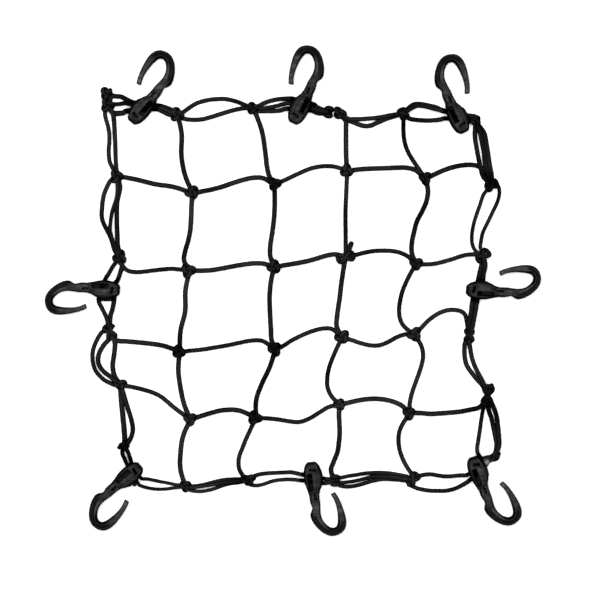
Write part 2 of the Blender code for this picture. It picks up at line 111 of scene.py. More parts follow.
BORDER_KNOTS = (
    ("TL", -184.6, 186.3, 15, 13.8, 10, 80),
    ("TL_tail", -186, 198.1, 13.6, 12.3, 10, 90),
    ("T1", -114.9, 176.7, 15.2, 13.8, 10, 75),
    ("T2", -39, 183.2, 13.2, 12.4, 10, 85),
    ("T3a", 36, 179.3, 13, 10, 10, 80),
    ("T3", 46.5, 177.8, 15, 12, 10, -35),
    ("T4", 110.5, 177.9, 13.5, 11.5, 10, 110),
    ("TR", 183.2, 169.9, 12.5, 11, 10, 30),
    ("R1", 199.3, 106.2, 15.5, 12, 10, 20),
    ("R2", 190.8, 35.2, 17.5, 13.3, 10, 42),
    ("R3", 176.6, -44, 15.5, 12.5, 10, 80),
    ("R4", 195.1, -103.9, 23, 13.3, 10, 84),
    ("R5", 202.3, -165.4, 15, 9.5, 9, 48),
    ("B4", 120.4, -187.9, 16.4, 12.4, 10, 42),
    ("B3", 42.2, -189, 12.8, 11, 10, 90),
    ("B2", -44.4, -189, 16.4, 11.7, 10, 8),
    ("B1", -107.4, -195.3, 12.3, 12, 10, 0),
    ("L5", -168.8, -154.3, 11.3, 10.6, 10, 30),
    ("L4", -172.8, -93.5, 14.8, 10.4, 10, 5),
    ("L3", -183.1, -40.6, 18, 13.2, 10, 108),
    ("L2", -172.4, 33.8, 15, 14.5, 10, 45),
    ("L1", -175.6, 115.3, 15.2, 13.3, 10, 85),
)
# Knots that are not overhand knots
CROSSED = ("M23", "T4", "R1", "R2", "R3", "B4", "L5", "L3")
WRAPPED = ("T3a", "R4", "B3")

# Mesh strands: from, to, thickness as a share, sideways offsets at equal shares of the way
MESH_STRANDS = (
    ("L1", "M11", 1, 0.3, 1, 0.7, 2, 0),
    ("M11", "M12", 1, 0, 0.9, 1.9, 3.6, 6, 8, 9.1, 7.6, 0),
    ("M12", "M13", 0.9, 0, 2.1, 4.6, 7, 9, 9.6, 8.6, 5.7, 0),
    ("M13", "M14", 1, 0, 2.5, 4.3, 5.7, 7, 8.4, 9.3, 7.4, 0),
    ("M14", "R1", 1, 0, 5.3, 10.1, 13.9, 16.7, 18.3, 18.1, 14, 1.7),
    ("L2", "M21", 0.9, -5, -11.2, -11.4, -9.2, -6.4, -3.7, -1.5, -0.7, 0),
    ("M21", "M22", 1, 0, -0.5, -0.5, 0.8, 2.4, 3.8, 4.7, 4, 0),
    ("M22", "M23", 1, 0, 0.6, 0.8, 1.1, 1.8, 3.1, 4.4, 4.2, 0),
    ("M23", "M24", 0.9, 0, 3, 6.3, 8.9, 10.2, 10.9, 10.2, 7, 0),
    ("M24", "R2", 0.9, 0, -1.6, 0.4, 3.4, 1.8),
    ("L3", "M31", 1, -3, -6.3, -4.6, -2.8, -1.2, 0.3, 1.3, 1, 0),
    ("M31", "M32", 0.9, 0, 0.9, 2, 3.7, 5.5, 7.8, 9.8, 9, 0),
    ("M32", "M33", 0.9, 0, 2.5, 6.1, 8.7, 10.8, 12.2, 12.4, 10.1, 0),
    ("M33", "M34", 0.9, 0, -2.8, -6.3, -8.7, -9.1, -6.2, -1.6, 1, 0),
    ("M34", "R3", 0.9, 0, 3.8, 7.4, 11.3, 14.6, 17.4, 19.8, 21.8, 23.4, 24.6, 25.3, 25.5, 25.3,
        24.7, 23.2, 18.6, -1),
    ("L4", "M41", 0.9, 0, 5.3, 7.8, 3.6, 0),
    ("M41", "M42", 1, 0, 4.9, 8.5, 7.7, 0),
    ("M42", "M43", 0.9, 0, -2.2, -4.9, -8.4, -10.8, -8.8, -4.4, -0.3, 0),
    ("M43", "M44", 1, 0, 3.3, 6.4, 8.8, 10.2, 10.4, 9.3, 6.4, 0),
    ("M44", "R4", 1, 0, -2.4, -5.6, -7.3, -8.8, -10, -10.3, -9.8, -2),
    ("T1", "M11", 1, 0, 0, -4, -4.2, 0),
    ("M11", "M21", 1, 0, -0.5, -0.5, -0.5, -1, -2.6, -5, -5.7, 0),
    ("M21", "M31", 1, 0, -1.5, 0.6, -1.7, 0),
    ("M31", "M41", 1, 0, -4.1, -4.8, -3.9, 0),
    ("M41", "B1", 1, 0, -6, -7.4, -6.3, 0),
    ("T2", "M12", 1, 0, 1, 1.9, 1.7, 0.5, -0.8, -2.3, -2.6, 0),
    ("M12", "M22", 1, 0, 0.4, 0.4, -0.1, -1.2, -2.7, -4.2, -4, 0),
    ("M22", "M32", 1, 0, -2.9, -4.5, -5.2, -5, -4.6, -4.1, -3.6, 0),
    ("M32", "M42", 1, 0, -0.5, -3.4, -4.6, 0),
    ("M42", "B2", 0.9, 0, -2.6, -5.2, -7.7, -9.7, -11.8, -11.9, -9.3, -2),
    ("T3", "M13", 1, 0, 5.3, 4.8, 3.8, 2.8, 1.8, 0.9, 0.4, 0),
    ("M13", "M23", 0.9, 0, -0.6, -1, -0.4, 0),
    ("M23", "M33", 1, 0, -1.5, -2.6, -3.6, -4.3, -5.4, -6.3, -6, 0),
    ("M33", "M43", 0.9, 0, -4.2, -7.6, -10.6, -12.8, -13.6, -12.8, -8.6, 0),
    ("M43", "B3", 1, 0, -0.1, 0.9, 1.8, 1.6, 0.8, -2.2, -4.6, 0),
    ("T4", "M14", 0.9, 0, -2.6, -5.5, -7.5, -7.9, -6.7, -4.5, -2.1, 0),
    ("M14", "M24", 1, 0, 3.8, 3.6, 0.4, -3.8, -5.5, -6.5, -5.4, 0),
    ("M24", "M34", 0.9, 0, -5.2, -9.4, -12.9, -15, -16.1, -15.4, -11.2, 0),
    ("M34", "M44", 0.9, 0, 7, 9.8, 8.9, 6.5, 3.6, 1, -0.4, 0),
    ("M44", "B4", 0.9, 0, -10.6, -12.3, -7.5, 2.2),
)

# Border strands that pass through no hook: from, to, width or widths on the way,
# places x, y, x, y
BORDER_STRANDS = (
    ("T1", "T2", 4.5, (-108, 180.8, -103, 184.4, -97, 188.1, -90, 190.5, -83, 192, -76, 192.6,
        -69, 192.8, -62, 191.7, -55, 189.7, -49, 187.2, -43.5, 185)),
    ("T1", "T2", 4.6, (-109, 173, -103, 172.1, -96, 171.9, -89, 172.7, -82, 174.6, -75, 176.8,
        -68, 179, -61, 181.1, -54, 182.7, -47, 183.4)),
    ("T3", "T4", 4.9, (55, 171.7, 60, 169.8, 64, 168, 69, 166.2, 74, 165.6, 79, 166.4, 84, 168.8,
        89, 170.9, 95, 173.4, 101, 175.2)),
    ("T3", "T4", 4.6, (55, 172.7, 62, 172.3, 69, 172.6, 76, 173.1, 83, 173.7, 90, 174.6, 97, 176,
        104, 177)),
    ("TR", "R1", 4.8, (182.4, 156, 184.1, 144, 186.1, 133, 188.2, 124, 190.8, 115)),
    ("TR", "R1", 5.2, (191.4, 158.8, 193.9, 147.3, 195.7, 136, 197.2, 126, 199, 116)),
    ("TR", "R1", 5.1, (187.5, 159, 189.7, 148.5, 191.5, 139, 192.6, 129, 194.6, 119)),
    ("R1", "R2", 3.9, (192, 98.5, 189.5, 93, 187.3, 86, 184.4, 78, 181.6, 69, 179.8, 60, 179.3, 52,
        180.4, 45.4, 183.4, 40.5)),
    ("R1", "R2", 3.9, (205, 106.5, 206.9, 102, 206.7, 96, 204.7, 89, 200.9, 81, 197.1, 73,
        193.2, 65, 190, 58, 188.7, 51, 187.9, 44)),
    ("R3", "R4", 4.8, (172.8, -51, 171.9, -58, 172.2, -65, 173.5, -72, 176.3, -77.5, 180.1, -82.6,
        185, -88.6, 190.4, -94.7)),
    ("R3", "R4", 4.7, (177, -52.5, 178.2, -60, 179.9, -68, 182.9, -76, 187, -84, 190.5, -91)),
    ("R4", "R5", 4.9, (196.1, -118, 199, -127, 201, -136, 202.8, -145, 204.2, -154)),
    ("R4", "R5", 4.9, (201.6, -117, 204.3, -126, 205.6, -136, 206.2, -145, 206.3, -154)),
    ("B3", "B4", (3.8, 4.4), (44, -187.5, 50, -186.1, 57, -184.7, 65, -183.5, 73, -182.2,
        82, -181.7, 91, -181.7, 99, -182.5, 107, -184, 114, -185.3)),
    ("B3", "B4", (4, 4.4), (44.5, -193, 49, -195, 54, -195.6, 61, -195, 68, -193.4, 75, -191.2,
        82, -189.3, 90, -188, 98, -188.1, 106, -188.6, 112, -189.2)),
    ("B3", "B4", (3.7, 4.4), (48, -191.2, 54, -191, 61, -190.1, 68, -188.6, 75, -186.8, 81, -185.2,
        89, -184.9, 97, -185.3, 105, -186.3, 112, -187.3)),
    ("B1", "B2", 3.6, (-103, -199, -97, -200.2, -91, -200.3, -85, -199.3, -79, -197.9, -73, -195.5,
        -67, -193.7, -61, -192.3, -53, -191.4)),
    ("B1", "B2", 4.2, (-101.5, -195.3, -93, -194.4, -85, -192.6, -77, -190.5, -69, -188.8,
        -61, -188.2, -53, -187.9)),
    ("B1", "B2", 4, (-102, -196, -93, -195.2, -85, -194, -77, -192.8, -69, -191.4, -61, -190.3,
        -53, -189.7)),
    ("L4", "L5", 5.5, (-172.2, -101, -171.8, -107, -171.2, -114, -170.4, -122, -169.5, -131,
        -168.7, -140, -168.2, -148)),
    ("L4", "L5", 4.8, (-170, -100, -168.1, -107, -165.8, -115, -163.2, -123, -161.1, -131,
        -160.1, -138, -161.3, -144.5, -164.5, -151)),
    ("L3", "L4", 4.4, (-190, -40, -194.1, -45, -197.7, -52, -200.1, -59, -200.6, -66, -199.8, -73,
        -197.4, -79.3, -193.4, -84.5, -188.3, -89, -183, -91.7, -178, -93.8)),
    ("L3", "L4", 5, (-178.4, -50, -178.3, -58, -179.3, -66, -180.3, -73, -179.9, -79,
        -178.2, -85)),
    ("L3", "L4", 4.9, (-184.2, -48, -187.9, -52, -191.4, -57, -193.9, -62, -195, -67,
        -194.4, -72.5, -191.6, -77.7, -187.4, -81.9, -182.9, -85, -178.5, -88.5)),
    ("L1", "L2", 4.6, (-182, 111.5, -185.9, 105, -188.8, 98, -190.4, 90, -191.1, 83, -191.3, 75,
        -189.8, 69, -186.4, 62, -182.8, 55, -180.4, 48, -178.3, 41)),
    ("L1", "L2", 4.9, (-172.9, 105, -174.3, 97, -176, 88, -176.2, 76, -176.1, 66, -175.6, 56,
        -175.1, 46)),
    ("L1", "L2", 3.9, (-175.5, 101, -176.2, 94, -178.4, 87, -180.8, 80, -182, 73, -182.7, 66,
        -182.5, 60, -180.3, 52, -176.8, 44)),
    ("TL", "L1", 4.3, (-188, 179, -187.2, 173, -185.2, 166, -183.8, 158, -183.7, 150, -184.3, 142,
        -184, 134, -182.5, 127.7)),
    ("TL", "L1", (5, 4.2), (-180, 178, -179, 171, -178.4, 161, -177.9, 151, -177.6, 141,
        -177.2, 131, -176.5, 124)),
)

# Border strands through a hook: from, width or widths, places x, y up to the hook, hook,
# places u, v through its lug, places x, y after it, to
HOOKED_STRANDS = (
    ("TL", (5.6, 5.2), (-180.5, 179, -175, 178.3, -169.5, 178.5), "top_left", (4.9, 10.5,
        24.2, -8.5), (-130.5, 180.6, -124, 177.4), "T1"),
    ("TL", 5, (-181.5, 194.9, -176, 195.4, -170.5, 194.4), "top_left", (16.2, 10, 28.6, -8.5),
        (-128, 184.2, -121, 181.4), "T1"),
    ("TL", (4.5, 4.6), (-180, 187.4, -174, 187.5, -168, 188.2), "top_left", (13.3, 11, 26.4, -8.5),
        (-129, 182.3, -122, 179.3), "T1"),
    ("T2", 4.6, (-35, 180.8, -28, 180.6, -21, 180.6, -13, 181), "top_middle", (10.6, 10,
        18.6, -10), (20, 180.2, 27, 178), "T3a"),
    ("T2", 4.6, (-34.5, 185.5, -29, 188.5, -23, 190.7, -16, 192.2, -9, 192.8), "top_middle",
        (21.5, 10, 25.6, -10), (24, 184.5, 29, 182.3), "T3a"),
    ("T2", (4, 4.6), (-34, 182.6, -28, 183.4, -22, 184.4, -16, 185.8, -10, 187.2), "top_middle",
        (16.8, 10.5, 21.6, -10), (21, 182, 28, 180.4), "T3a"),
    ("T4", 4.6, (117, 184.8, 122, 187.6, 129, 187.6, 136.5, 186.1, 144, 184.2), "top_right",
        (28.8, -10, 13.6, 10, 9, 17), (), "TR"),
    ("T4", 4.7, (115, 174, 120, 172.3, 127, 171.5, 134, 171.1, 141, 171.4, 148, 172), "top_right",
        (19.9, -10.5, 7.5, 9.5, 4.1, 12.5), (), "TR"),
    ("T4", 4.6, (118, 182.7, 124, 185.7, 131, 185.3, 138, 183.6, 145, 181.6), "top_right",
        (27.1, -9.5, 10.4, 10, 6.6, 14.5), (), "TR"),
    ("R2", (4.8, 5), (189, 26, 186.9, 18), "right", (10.6, 10, 6.6, -10), (178.8, -19, 177.4, -29,
        176.3, -38), "R3"),
    ("R2", (4.8, 5), (192.7, 26, 191, 18), "right", (15.3, 10, 11.2, -10), (182.9, -19, 181.1, -29,
        179.1, -38), "R3"),
    ("B4", (4.3, 4.3, 4), (122.5, -186.5, 127, -184.7, 133, -183.4, 139, -183.2, 145, -184.3,
        151, -185.1, 157, -185.2, 163, -184.6, 169, -184), "bottom_right", (14.4, -10, 9.5, 3,
        7.2, 8.6), (188, -166, 185.1, -162, 184.5, -157, 185.8, -149, 187.1, -141, 188.2, -133,
        189.4, -125, 191, -117), "R4"),
    ("B4", (4.3, 4.3, 5), (115, -192.7, 119.5, -194.9, 124.7, -197.2, 131, -198.6, 138, -199.6,
        145, -199.7, 152, -199.7, 158, -198.8, 164, -196.9, 169, -194.2, 173.5, -191.5),
        "bottom_right", (20.2, -10, 11.5, 9), (194.7, -170.5), "R5"),
    ("B2", 4.2, (-39, -185.3, -35, -183.6, -29, -182.5, -22, -181.9, -15, -181.6, -8, -181.3,
        -1, -181.1), "bottom_middle", (10.8, -10, 16.7, 10), (), "B3"),
    ("B2", (3.7, 4.2), (-43.5, -193, -40, -194.2, -35, -194.3, -29, -193, -23, -190.8, -17, -189.3,
        -10, -188.5, -3, -188.2), "bottom_middle", (16.9, -10, 21.6, 10), (), "B3"),
    ("L5", (4.6, 3.6, 3.3), (-165.1, -160.4, -163.4, -165), "bottom_left", (3.7, -9.2, 6.3, -5,
        7.1, 9.6), (-146, -187.6, -139, -189.1, -132, -190.6, -125, -191.9, -118, -193.3), "B1"),
    ("L5", (4.6, 3.6, 3.3), (-170.7, -161.7, -168.3, -167), "bottom_left", (8.8, -10, 12.7, 12),
        (-151, -194.9, -145, -196.7, -139, -197.8, -132, -198.1, -125, -197.6, -118, -196.5),
        "B1"),
    ("L2", 4.8, (-171, 26, -172.9, 18), "left", (2.3, -9.5, 5, -4.5, 4.4, 9.5), (-180.3, -17,
        -182.7, -26), "L3"),
    ("L2", 4.4, (-178.8, 27, -182.2, 21.4, -185.2, 15.9), "left", (14.6, -10, 20, 10),
        (-191.3, -16, -188.4, -22, -185.7, -28), "L3"),
)

# Short cut ends: x and y of the root, x and y of the tip
MESH_ENDS = ((53.8, 34.3, 59.3, 49.8),)
BORDER_ENDS = (
    (-186.2, 198, -181.7, 202.6), (195.1, -103.5, 199.9, -92.4),
    (-168.3, -154.2, -175.2, -156.6), (-157, -189, -158.9, -194.6),
    (-181, -7.6, -193, -7.6), (203.5, -164.5, 207.4, -161.9),
    (-183, -37, -178.9, -33.8), (198.5, -165.4, 190.3, -167.2),
)
SLEEVE = (194, -170.4, 2.6)  # pale sleeve on a border cord: x, y, reach

# Hooked part, in its own frame: u from the lug's end to the crown, v to the tip's side.
# Stations: outer edge u, v and inner edge u, v
NECK_START = 28.0
NECK_SIDE = 10.0  # width and length of the square that the hooked part starts from
STATIONS = (
    (38, -5.1, 38, 5.3), (40.4, -4.9, 40.4, 5.5), (43, -4.2, 43, 5.5),
    (45.2, -3.2, 45.2, 5.2), (47.5, -3.5, 47.3, 5), (49.5, -5, 49.2, 4.9),
    (52.4, -6.4, 51.4, 4.9), (56.1, -5.9, 54.4, 5), (61.3, -3.8, 57.7, 5.7),
    (66.2, -0.7, 60.8, 7), (70.5, 3, 63.6, 9), (74.2, 7.4, 66, 11.6),
    (76.5, 12.8, 67.5, 14), (76.1, 18.3, 67.6, 16.5), (74, 23.6, 66.7, 18.4),
    (70.5, 27.2, 64.9, 19.6), (66.2, 28.9, 61.9, 20.3), (61, 29.3, 58.1, 20.7),
    (56, 28.7, 54.3, 20.8), (51, 27.7, 50, 20.7), (46, 26.5, 45.9, 20.3),
    (41.2, 25, 41.9, 19.5), (37.8, 23.7, 38.9, 18.5), (34.9, 22.4, 36.3, 17.2),
    (31.9, 20.8, 33.6, 15.8),
)
COLUMNS = 12  # strips between the outer and the inner edge
HALF_THICK = 4.0

RIM = 0.5  # relief drops only what lies higher than this
HEEL, ARM, TIP = 6, 17, 24  # stations where the heel, the arm and the tip start
# Relief of the hooked part: first and last station, first and last column, drop
RELIEF = (
    (0, HEEL - 1, 0, 0, 1.6), (0, HEEL - 1, 1, 1, 0.5), (0, HEEL - 1, 11, 11, 0.4),
    (0, HEEL - 1, 12, 12, 1.5), (HEEL, ARM, 0, 0, 3), (HEEL, ARM, 1, 1, 2.2),
    (HEEL, ARM, 2, 2, 1), (HEEL + 1, ARM - 1, 5, 5, 2), (HEEL + 2, ARM - 1, 6, 6, 0.9),
    (HEEL + 5, ARM - 1, 9, 9, 0.4), (HEEL + 5, ARM - 1, 10, 10, 1.1),
    (HEEL, HEEL + 4, 11, 11, 0.4), (HEEL, HEEL + 4, 12, 12, 1.7), (HEEL + 5, ARM, 11, 11, 1.6),
    (HEEL + 5, ARM, 12, 12, 2.6), (ARM + 1, TIP, 0, 0, 2.4), (ARM + 1, TIP, 1, 1, 0.9),
    (ARM + 1, TIP, 11, 11, 0.5), (ARM + 1, TIP, 12, 12, 1.9), (TIP - 1, TIP, 0, 12, 0.7),
)

# Painted highlights on the plastic: u, v, how far, how much
PAINTED_HIGHLIGHTS = (
    (3, 4, 3.6, 0.9), (14.5, 3.2, 5, 0.5), (22, 3.4, 5, 0.35), (8, -5, 4.5, 0.4),
    (32.4, 2.5, 1.6, 1.2), (35.5, -1.6, 3.4, 0.4), (44, 0, 5, 0.35),
    (56.5, 2.4, 4.5, 0.7), (61.8, 4, 5, 1), (66, 7.2, 4, 0.6),
    (60, 25.2, 6, 0.45), (50, 24.4, 6, 0.5), (41, 22, 5, 0.7),
    (35.6, 19.2, 3.8, 1.4),
)

# Neck: cuts across it, and grooves with their range of u, range of v and depth
NECK_CUTS = (31, 33, 37.8)
GROOVE_STEP = 0.15  # width of the step round a groove
NECK_SLOTS = (
    ((31, 37.8), (0.1, 1.6), 3),
    ((31, 37.8), (-4.1, -3.4), 1.6),
)

# Lug: at each cut across it the place u, the sides' v and the share of the full height
LUG_WIDTH, LUG_HEIGHT = 18.6, 12.0
LUG_SHAPE = (
    (-0.8, -3.3, 3.9, 0.72), (0.5, -5.1, 5.6, 0.84), (2.2, -6.3, 6.9, 0.91),
    (4.2, -7.3, 8.1, 0.95), (6.4, -7.9, 8.8, 0.98), (8.6, -8.3, 9.5, 0.99),
    (11, -8.7, 10.3, 1.00), (16, -8.8, 10.6, 1.00), (20, -8.5, 10.1, 0.99),
    (24, -7.7, 9, 0.97), (27.6, -6.7, 7.3, 0.93), (29.6, -6.1, 6, 0.90),
    (33, -5.4, 5.4, 0.84),
)
SLOT_LOW, SLOT_HIGH = 3.5, 8.5
SLOT_START, SLOT_END = 2.2, 29.6
SLOT_SLACK = 1.0  # the slot's sides are looked for from this much lower
# Top of the lug: place across it, drop there
LUG_DOME = (
    (-9.3, 2.8), (-7.6, 1.1), (-5.6, 0.5), (-0.4, 0), (1.4, 0), (3, 0), (3.9, 0.9),
    (4.8, 0.3), (7, 1), (9.3, 2.8),
)
# Openings in the lug's roof: ranges of u, v and z, rounding of the corners, turn in degrees
OPENINGS = (
    ((10.6, 28.6), (-5.2, -0.2), (7.5, 13), 1.2, 0),
    ((5.8, 8.7), (-2.7, 4.6), (7.9, 13), 1.1, -12),
)
NEAR = 0.1  # tolerance for finding points by their place
FACING = 0.6  # a face whose normal has more than this along a direction faces it
WELD = 0.01  # points that meet at the mirror and become one

# Finishes
MIX_INPUTS, MIX_RESULT = (0, 6, 7), 2  # a Mix node's sockets for a share and two colours
BRAID_STRANDS = 4
TOP_LIGHT_GAIN, TOP_LIGHT_START = 2.2, 0.62  # how the painted top light on a sheath is broken into patches
TOP_LIGHT_EVEN, TOP_LIGHT_BRAID = 0.3, 0.75  # share of the painted top light that is even, and on the braid's ridges
BRAID_SHARE, FUZZ_SHARE = 0.7, 0.3  # of the sheath's relief
BRAID_DEPTH = 0.07  # depth of this relief as a share of the cord's diameter
SHEATH_ROUGH, FUZZ_ROUGH = 0.80, 0.15  # roughness, and how much the fuzz adds
SCRAPE_SCALE = (60.0, 420.0, 60.0)  # along each axis, in marks a metre
RUBBED_PALE, HIGHLIGHT_PALE, HIGHLIGHT_RUBBED = 0.45, 0.45, 0.55  # how pale rubbed places get, and how strong the painted highlights are, more where rubbed
MOTTLE_ROUGH, RUBBED_SMOOTH = 0.14, 0.06  # rougher where mottled, smoother where rubbed
RUB_SCRAPES, RUB_MOTTLE = 0.6, 0.4  # what the rubbed places are made of, as shares
GRAIN_SHARE, SCRAPE_SHARE = 0.6, 0.4  # of the plastic's relief
GRAIN_DEPTH = 0.15  # depth of this relief
ROOF_SHADE = 0.05  # colour of the painted shade on the plastic's slopes and in the lug's openings, as a share of the plastic's
OPEN_LOW, OPEN_HIGH = 4.8, 6.6  # height over which the painted shade in an opening ends
FLOOR_CLOUD = 0.985  # colour of the floor where it is dullest, as a share

# Stage, in metres
FLOOR_THICK, FLOOR_EDGE = 0.02, 0.005
LAMP_PLACE, LAMP_SIZE = (-0.12, 0.18, 2.3), 2.2
SKY_COLOUR, SKY_STRENGTH = (0.9, 0.92, 0.95, 1), 0.14
VIEW_CENTRE = (0.0073, -0.0086, 0.0)
VIEW_DEPTH = 50  # how far the camera sees

# --- settings


def length_setting(name, description, default, low, high):
    """Return a length for the panel, given in millimetres here."""
    return bpy.props.FloatProperty(
        name=name, description=description, default=default * MM, min=low * MM, max=high * MM,
        unit="LENGTH", subtype="DISTANCE",
    )


def colour_setting(name, description, default):
    """Return a colour for the panel."""
    return bpy.props.FloatVectorProperty(
        name=name, description=description, default=default, min=0.0, max=1.0, size=3,
        subtype="COLOR",
    )


class CargoNetCordSettings(bpy.types.PropertyGroup):
    """Sizes and colours of the cords."""

    mesh_diameter: length_setting(
        "Mesh cord", "Diameter of the knotted cords inside the border", 5.0, 2.0, 8.0
    )
    border_diameter: length_setting(
        "Border cord", "Diameter of the cords that run round the border", 4.6, 2.0, 8.0
    )
    braid_length: length_setting(
        "Braid length", "Length of cord that one turn of the braid takes", 9.0, 3.0, 30.0
    )
    colour: colour_setting("Sheath", "Colour of the braided sheath", (0.0006, 0.0006, 0.0009))
    # Painted top light: the sheath takes this paler colour where it faces up
    top_lit_colour: colour_setting(
        "Sheath in painted top light", "Colour of the sheath where it lies to the light", (0.027, 0.027, 0.031)
    )
    sleeve_colour: colour_setting(
        "Sleeve", "Colour of the pale sleeve beside the bottom right hook", (0.135, 0.135, 0.14)
    )


class CargoNetHookSettings(bpy.types.PropertyGroup):
    """Finish of the hooks."""

    colour: colour_setting("Plastic", "Colour of the moulded hooks", (0.0086, 0.0086, 0.0102))
    # Colour of the rubbed places and also of the painted highlights
    scuff_and_highlight_colour: colour_setting(
        "Scuffed and highlit plastic", "Colour of the plastic where it is rubbed", (0.056, 0.056, 0.06)
    )
    roughness: bpy.props.FloatProperty(
        name="Roughness", description="Roughness of the moulded surface", default=0.3,
        min=0.05, max=1.0, subtype="FACTOR",
    )


class CargoNetStageSettings(bpy.types.PropertyGroup):
    """Floor, light and camera."""

    floor_size: length_setting("Floor", "Width of the floor", 6000.0, 1000.0, 20000.0)
    floor_colour: colour_setting("Floor colour", "Colour of the floor", (0.93, 0.93, 0.93))
    light_power: bpy.props.FloatProperty(
        name="Light", description="Power of the soft light overhead", default=108.0, min=0.0,
        unit="POWER",
    )
    camera_height: length_setting(
        "Camera height", "Height of the camera over the floor", 2500.0, 500.0, 20000.0
    )
    view_width: length_setting(
        "View width", "Width of floor that the camera sees", 601.5, 100.0, 6000.0
    )


# --- shader maths


def arithmetic(operation, turned=False):
    """Return an operator that adds a Math node, with its numbers turned round if asked."""

    def method(self, other):
        return self.finish.math(operation, *((other, self) if turned else (self, other)))

    return method


class Field:
    """A shader's number, on which Python's arithmetic adds Math nodes."""

    __add__, __radd__ = arithmetic("ADD"), arithmetic("ADD", True)
    __sub__, __rsub__ = arithmetic("SUBTRACT"), arithmetic("SUBTRACT", True)
    __mul__ = arithmetic("MULTIPLY")

    def __init__(self, finish, socket):
        self.finish = finish
        self.socket = socket

    def sine(self):
        """Return the sine of this number."""
        return self.finish.math("SINE", self)

    def clamped(self):
        """Return this number kept between 0 and 1."""
        return self.finish.math("MULTIPLY", self, 1.0, use_clamp=True)


class Finish:
    """A material under construction, with a Principled shader."""

    def __init__(self, name):
        self.material = bpy.data.materials.new(name)
        self.material.use_nodes = True
        self.tree = self.material.node_tree
        self.shader = self.tree.nodes["Principled BSDF"]
        self.place = self.node("ShaderNodeTexCoord", output="Object")

    def node(self, kind, settings=None, values=None, output=0):
        """Add a node, set it, fill its sockets and return one of its outputs."""
        node = self.tree.nodes.new(kind)
        for name, value in (settings or {}).items():
            setattr(node, name, value)
        for name, value in (values or {}).items():
            self.fill(node.inputs[name], value)
        return Field(self, node.outputs[output])

    def fill(self, socket, value):
        """Link a field to a socket, or set the socket's own number or colour."""
        if isinstance(value, Field):
            self.tree.links.new(value.socket, socket)
        elif socket.type == "RGBA":
            socket.default_value = (*value, 1.0)
        else:
            socket.default_value = value

    def math(self, operation, *values, **settings):
        """Add a Math node."""
        settings["operation"] = operation
        return self.node("ShaderNodeMath", settings, dict(enumerate(values)))

    def mix(self, share, first, second):
        """Return a colour between two colours."""
        values = dict(zip(MIX_INPUTS, (share, first, second)))
        return self.node("ShaderNodeMix", {"data_type": "RGBA"}, values, output=MIX_RESULT)

    def noise(self, scale, detail, place=None):
        """Return a noise over the object's own place, or over another one."""
        values = {"Vector": place or self.place, "Scale": scale, "Detail": detail}
        return self.node("ShaderNodeTexNoise", values=values)

    def part(self, vector, axis):
        """Return one part of a vector."""
        return self.node("ShaderNodeSeparateXYZ", values={"Vector": vector}, output=axis)

    def rise(self, value, low, high):
        """Return 0 up to the low value, 1 from the high one and a smooth rise between."""
        values = {"Value": value, "From Min": low, "From Max": high}
        return self.node("ShaderNodeMapRange", {"interpolation_type": "SMOOTHSTEP"}, values)

    def open_sky(self, low, high):
        """Return how far the surface faces up, from 0 to 1."""
        normal = self.node("ShaderNodeNewGeometry", output="Normal")
        return self.rise(self.part(normal, "Z"), low, high)

    def attribute(self, name):
        """Return a number that the mesh holds at its points."""
        return self.node("ShaderNodeAttribute", {"attribute_name": name}, output="Fac")

    def bump(self, height, strength, distance):
        """Return a normal that follows a height."""
        values = {"Strength": strength, "Distance": distance, "Height": height}
        return self.node("ShaderNodeBump", values=values)

    def set(self, **values):
        """Fill the shader's sockets, named with underscores for spaces."""
        for name, value in values.items():
            self.fill(self.shader.inputs[name.replace("_", " ")], value)


def cord_finish(name, settings, diameter):
    """Return a braided sheath: crossing ridges, a little fuzz and painted top light where it faces
    up.
    """
    finish = Finish(name)
    route = finish.node("ShaderNodeUVMap", {"uv_map": "cord"})
    around = finish.part(route, "X") * (2 * pi) * BRAID_STRANDS
    along = finish.part(route, "Y") * (2 * pi / settings.braid_length) * BRAID_STRANDS
    braid = (around + along).sine() * (around - along).sine() * 0.5 + 0.5
    fuzz = finish.noise(scale=900.0, detail=3.0)
    patches = finish.noise(scale=22.0, detail=4.0)
    # Painted top light: faces that point up are drawn paler, in patches and most on the braid's
    # ridges
    lit = finish.open_sky(low=0.35, high=1.0) * (1.0 - finish.attribute("slot_shade"))
    ridges = braid * TOP_LIGHT_BRAID + TOP_LIGHT_EVEN
    top_light = (lit * (patches * TOP_LIGHT_GAIN - TOP_LIGHT_START) * ridges).clamped()
    sheath = finish.mix(top_light, settings.colour, settings.top_lit_colour)
    relief = braid * BRAID_SHARE + fuzz * FUZZ_SHARE
    finish.set(
        Base_Color=finish.mix(finish.attribute("sleeve"), sheath, settings.sleeve_colour),
        Roughness=fuzz * FUZZ_ROUGH + SHEATH_ROUGH,
        Specular_IOR_Level=0.0,
        Normal=finish.bump(relief, strength=0.75, distance=diameter * BRAID_DEPTH),
    )
    return finish.material


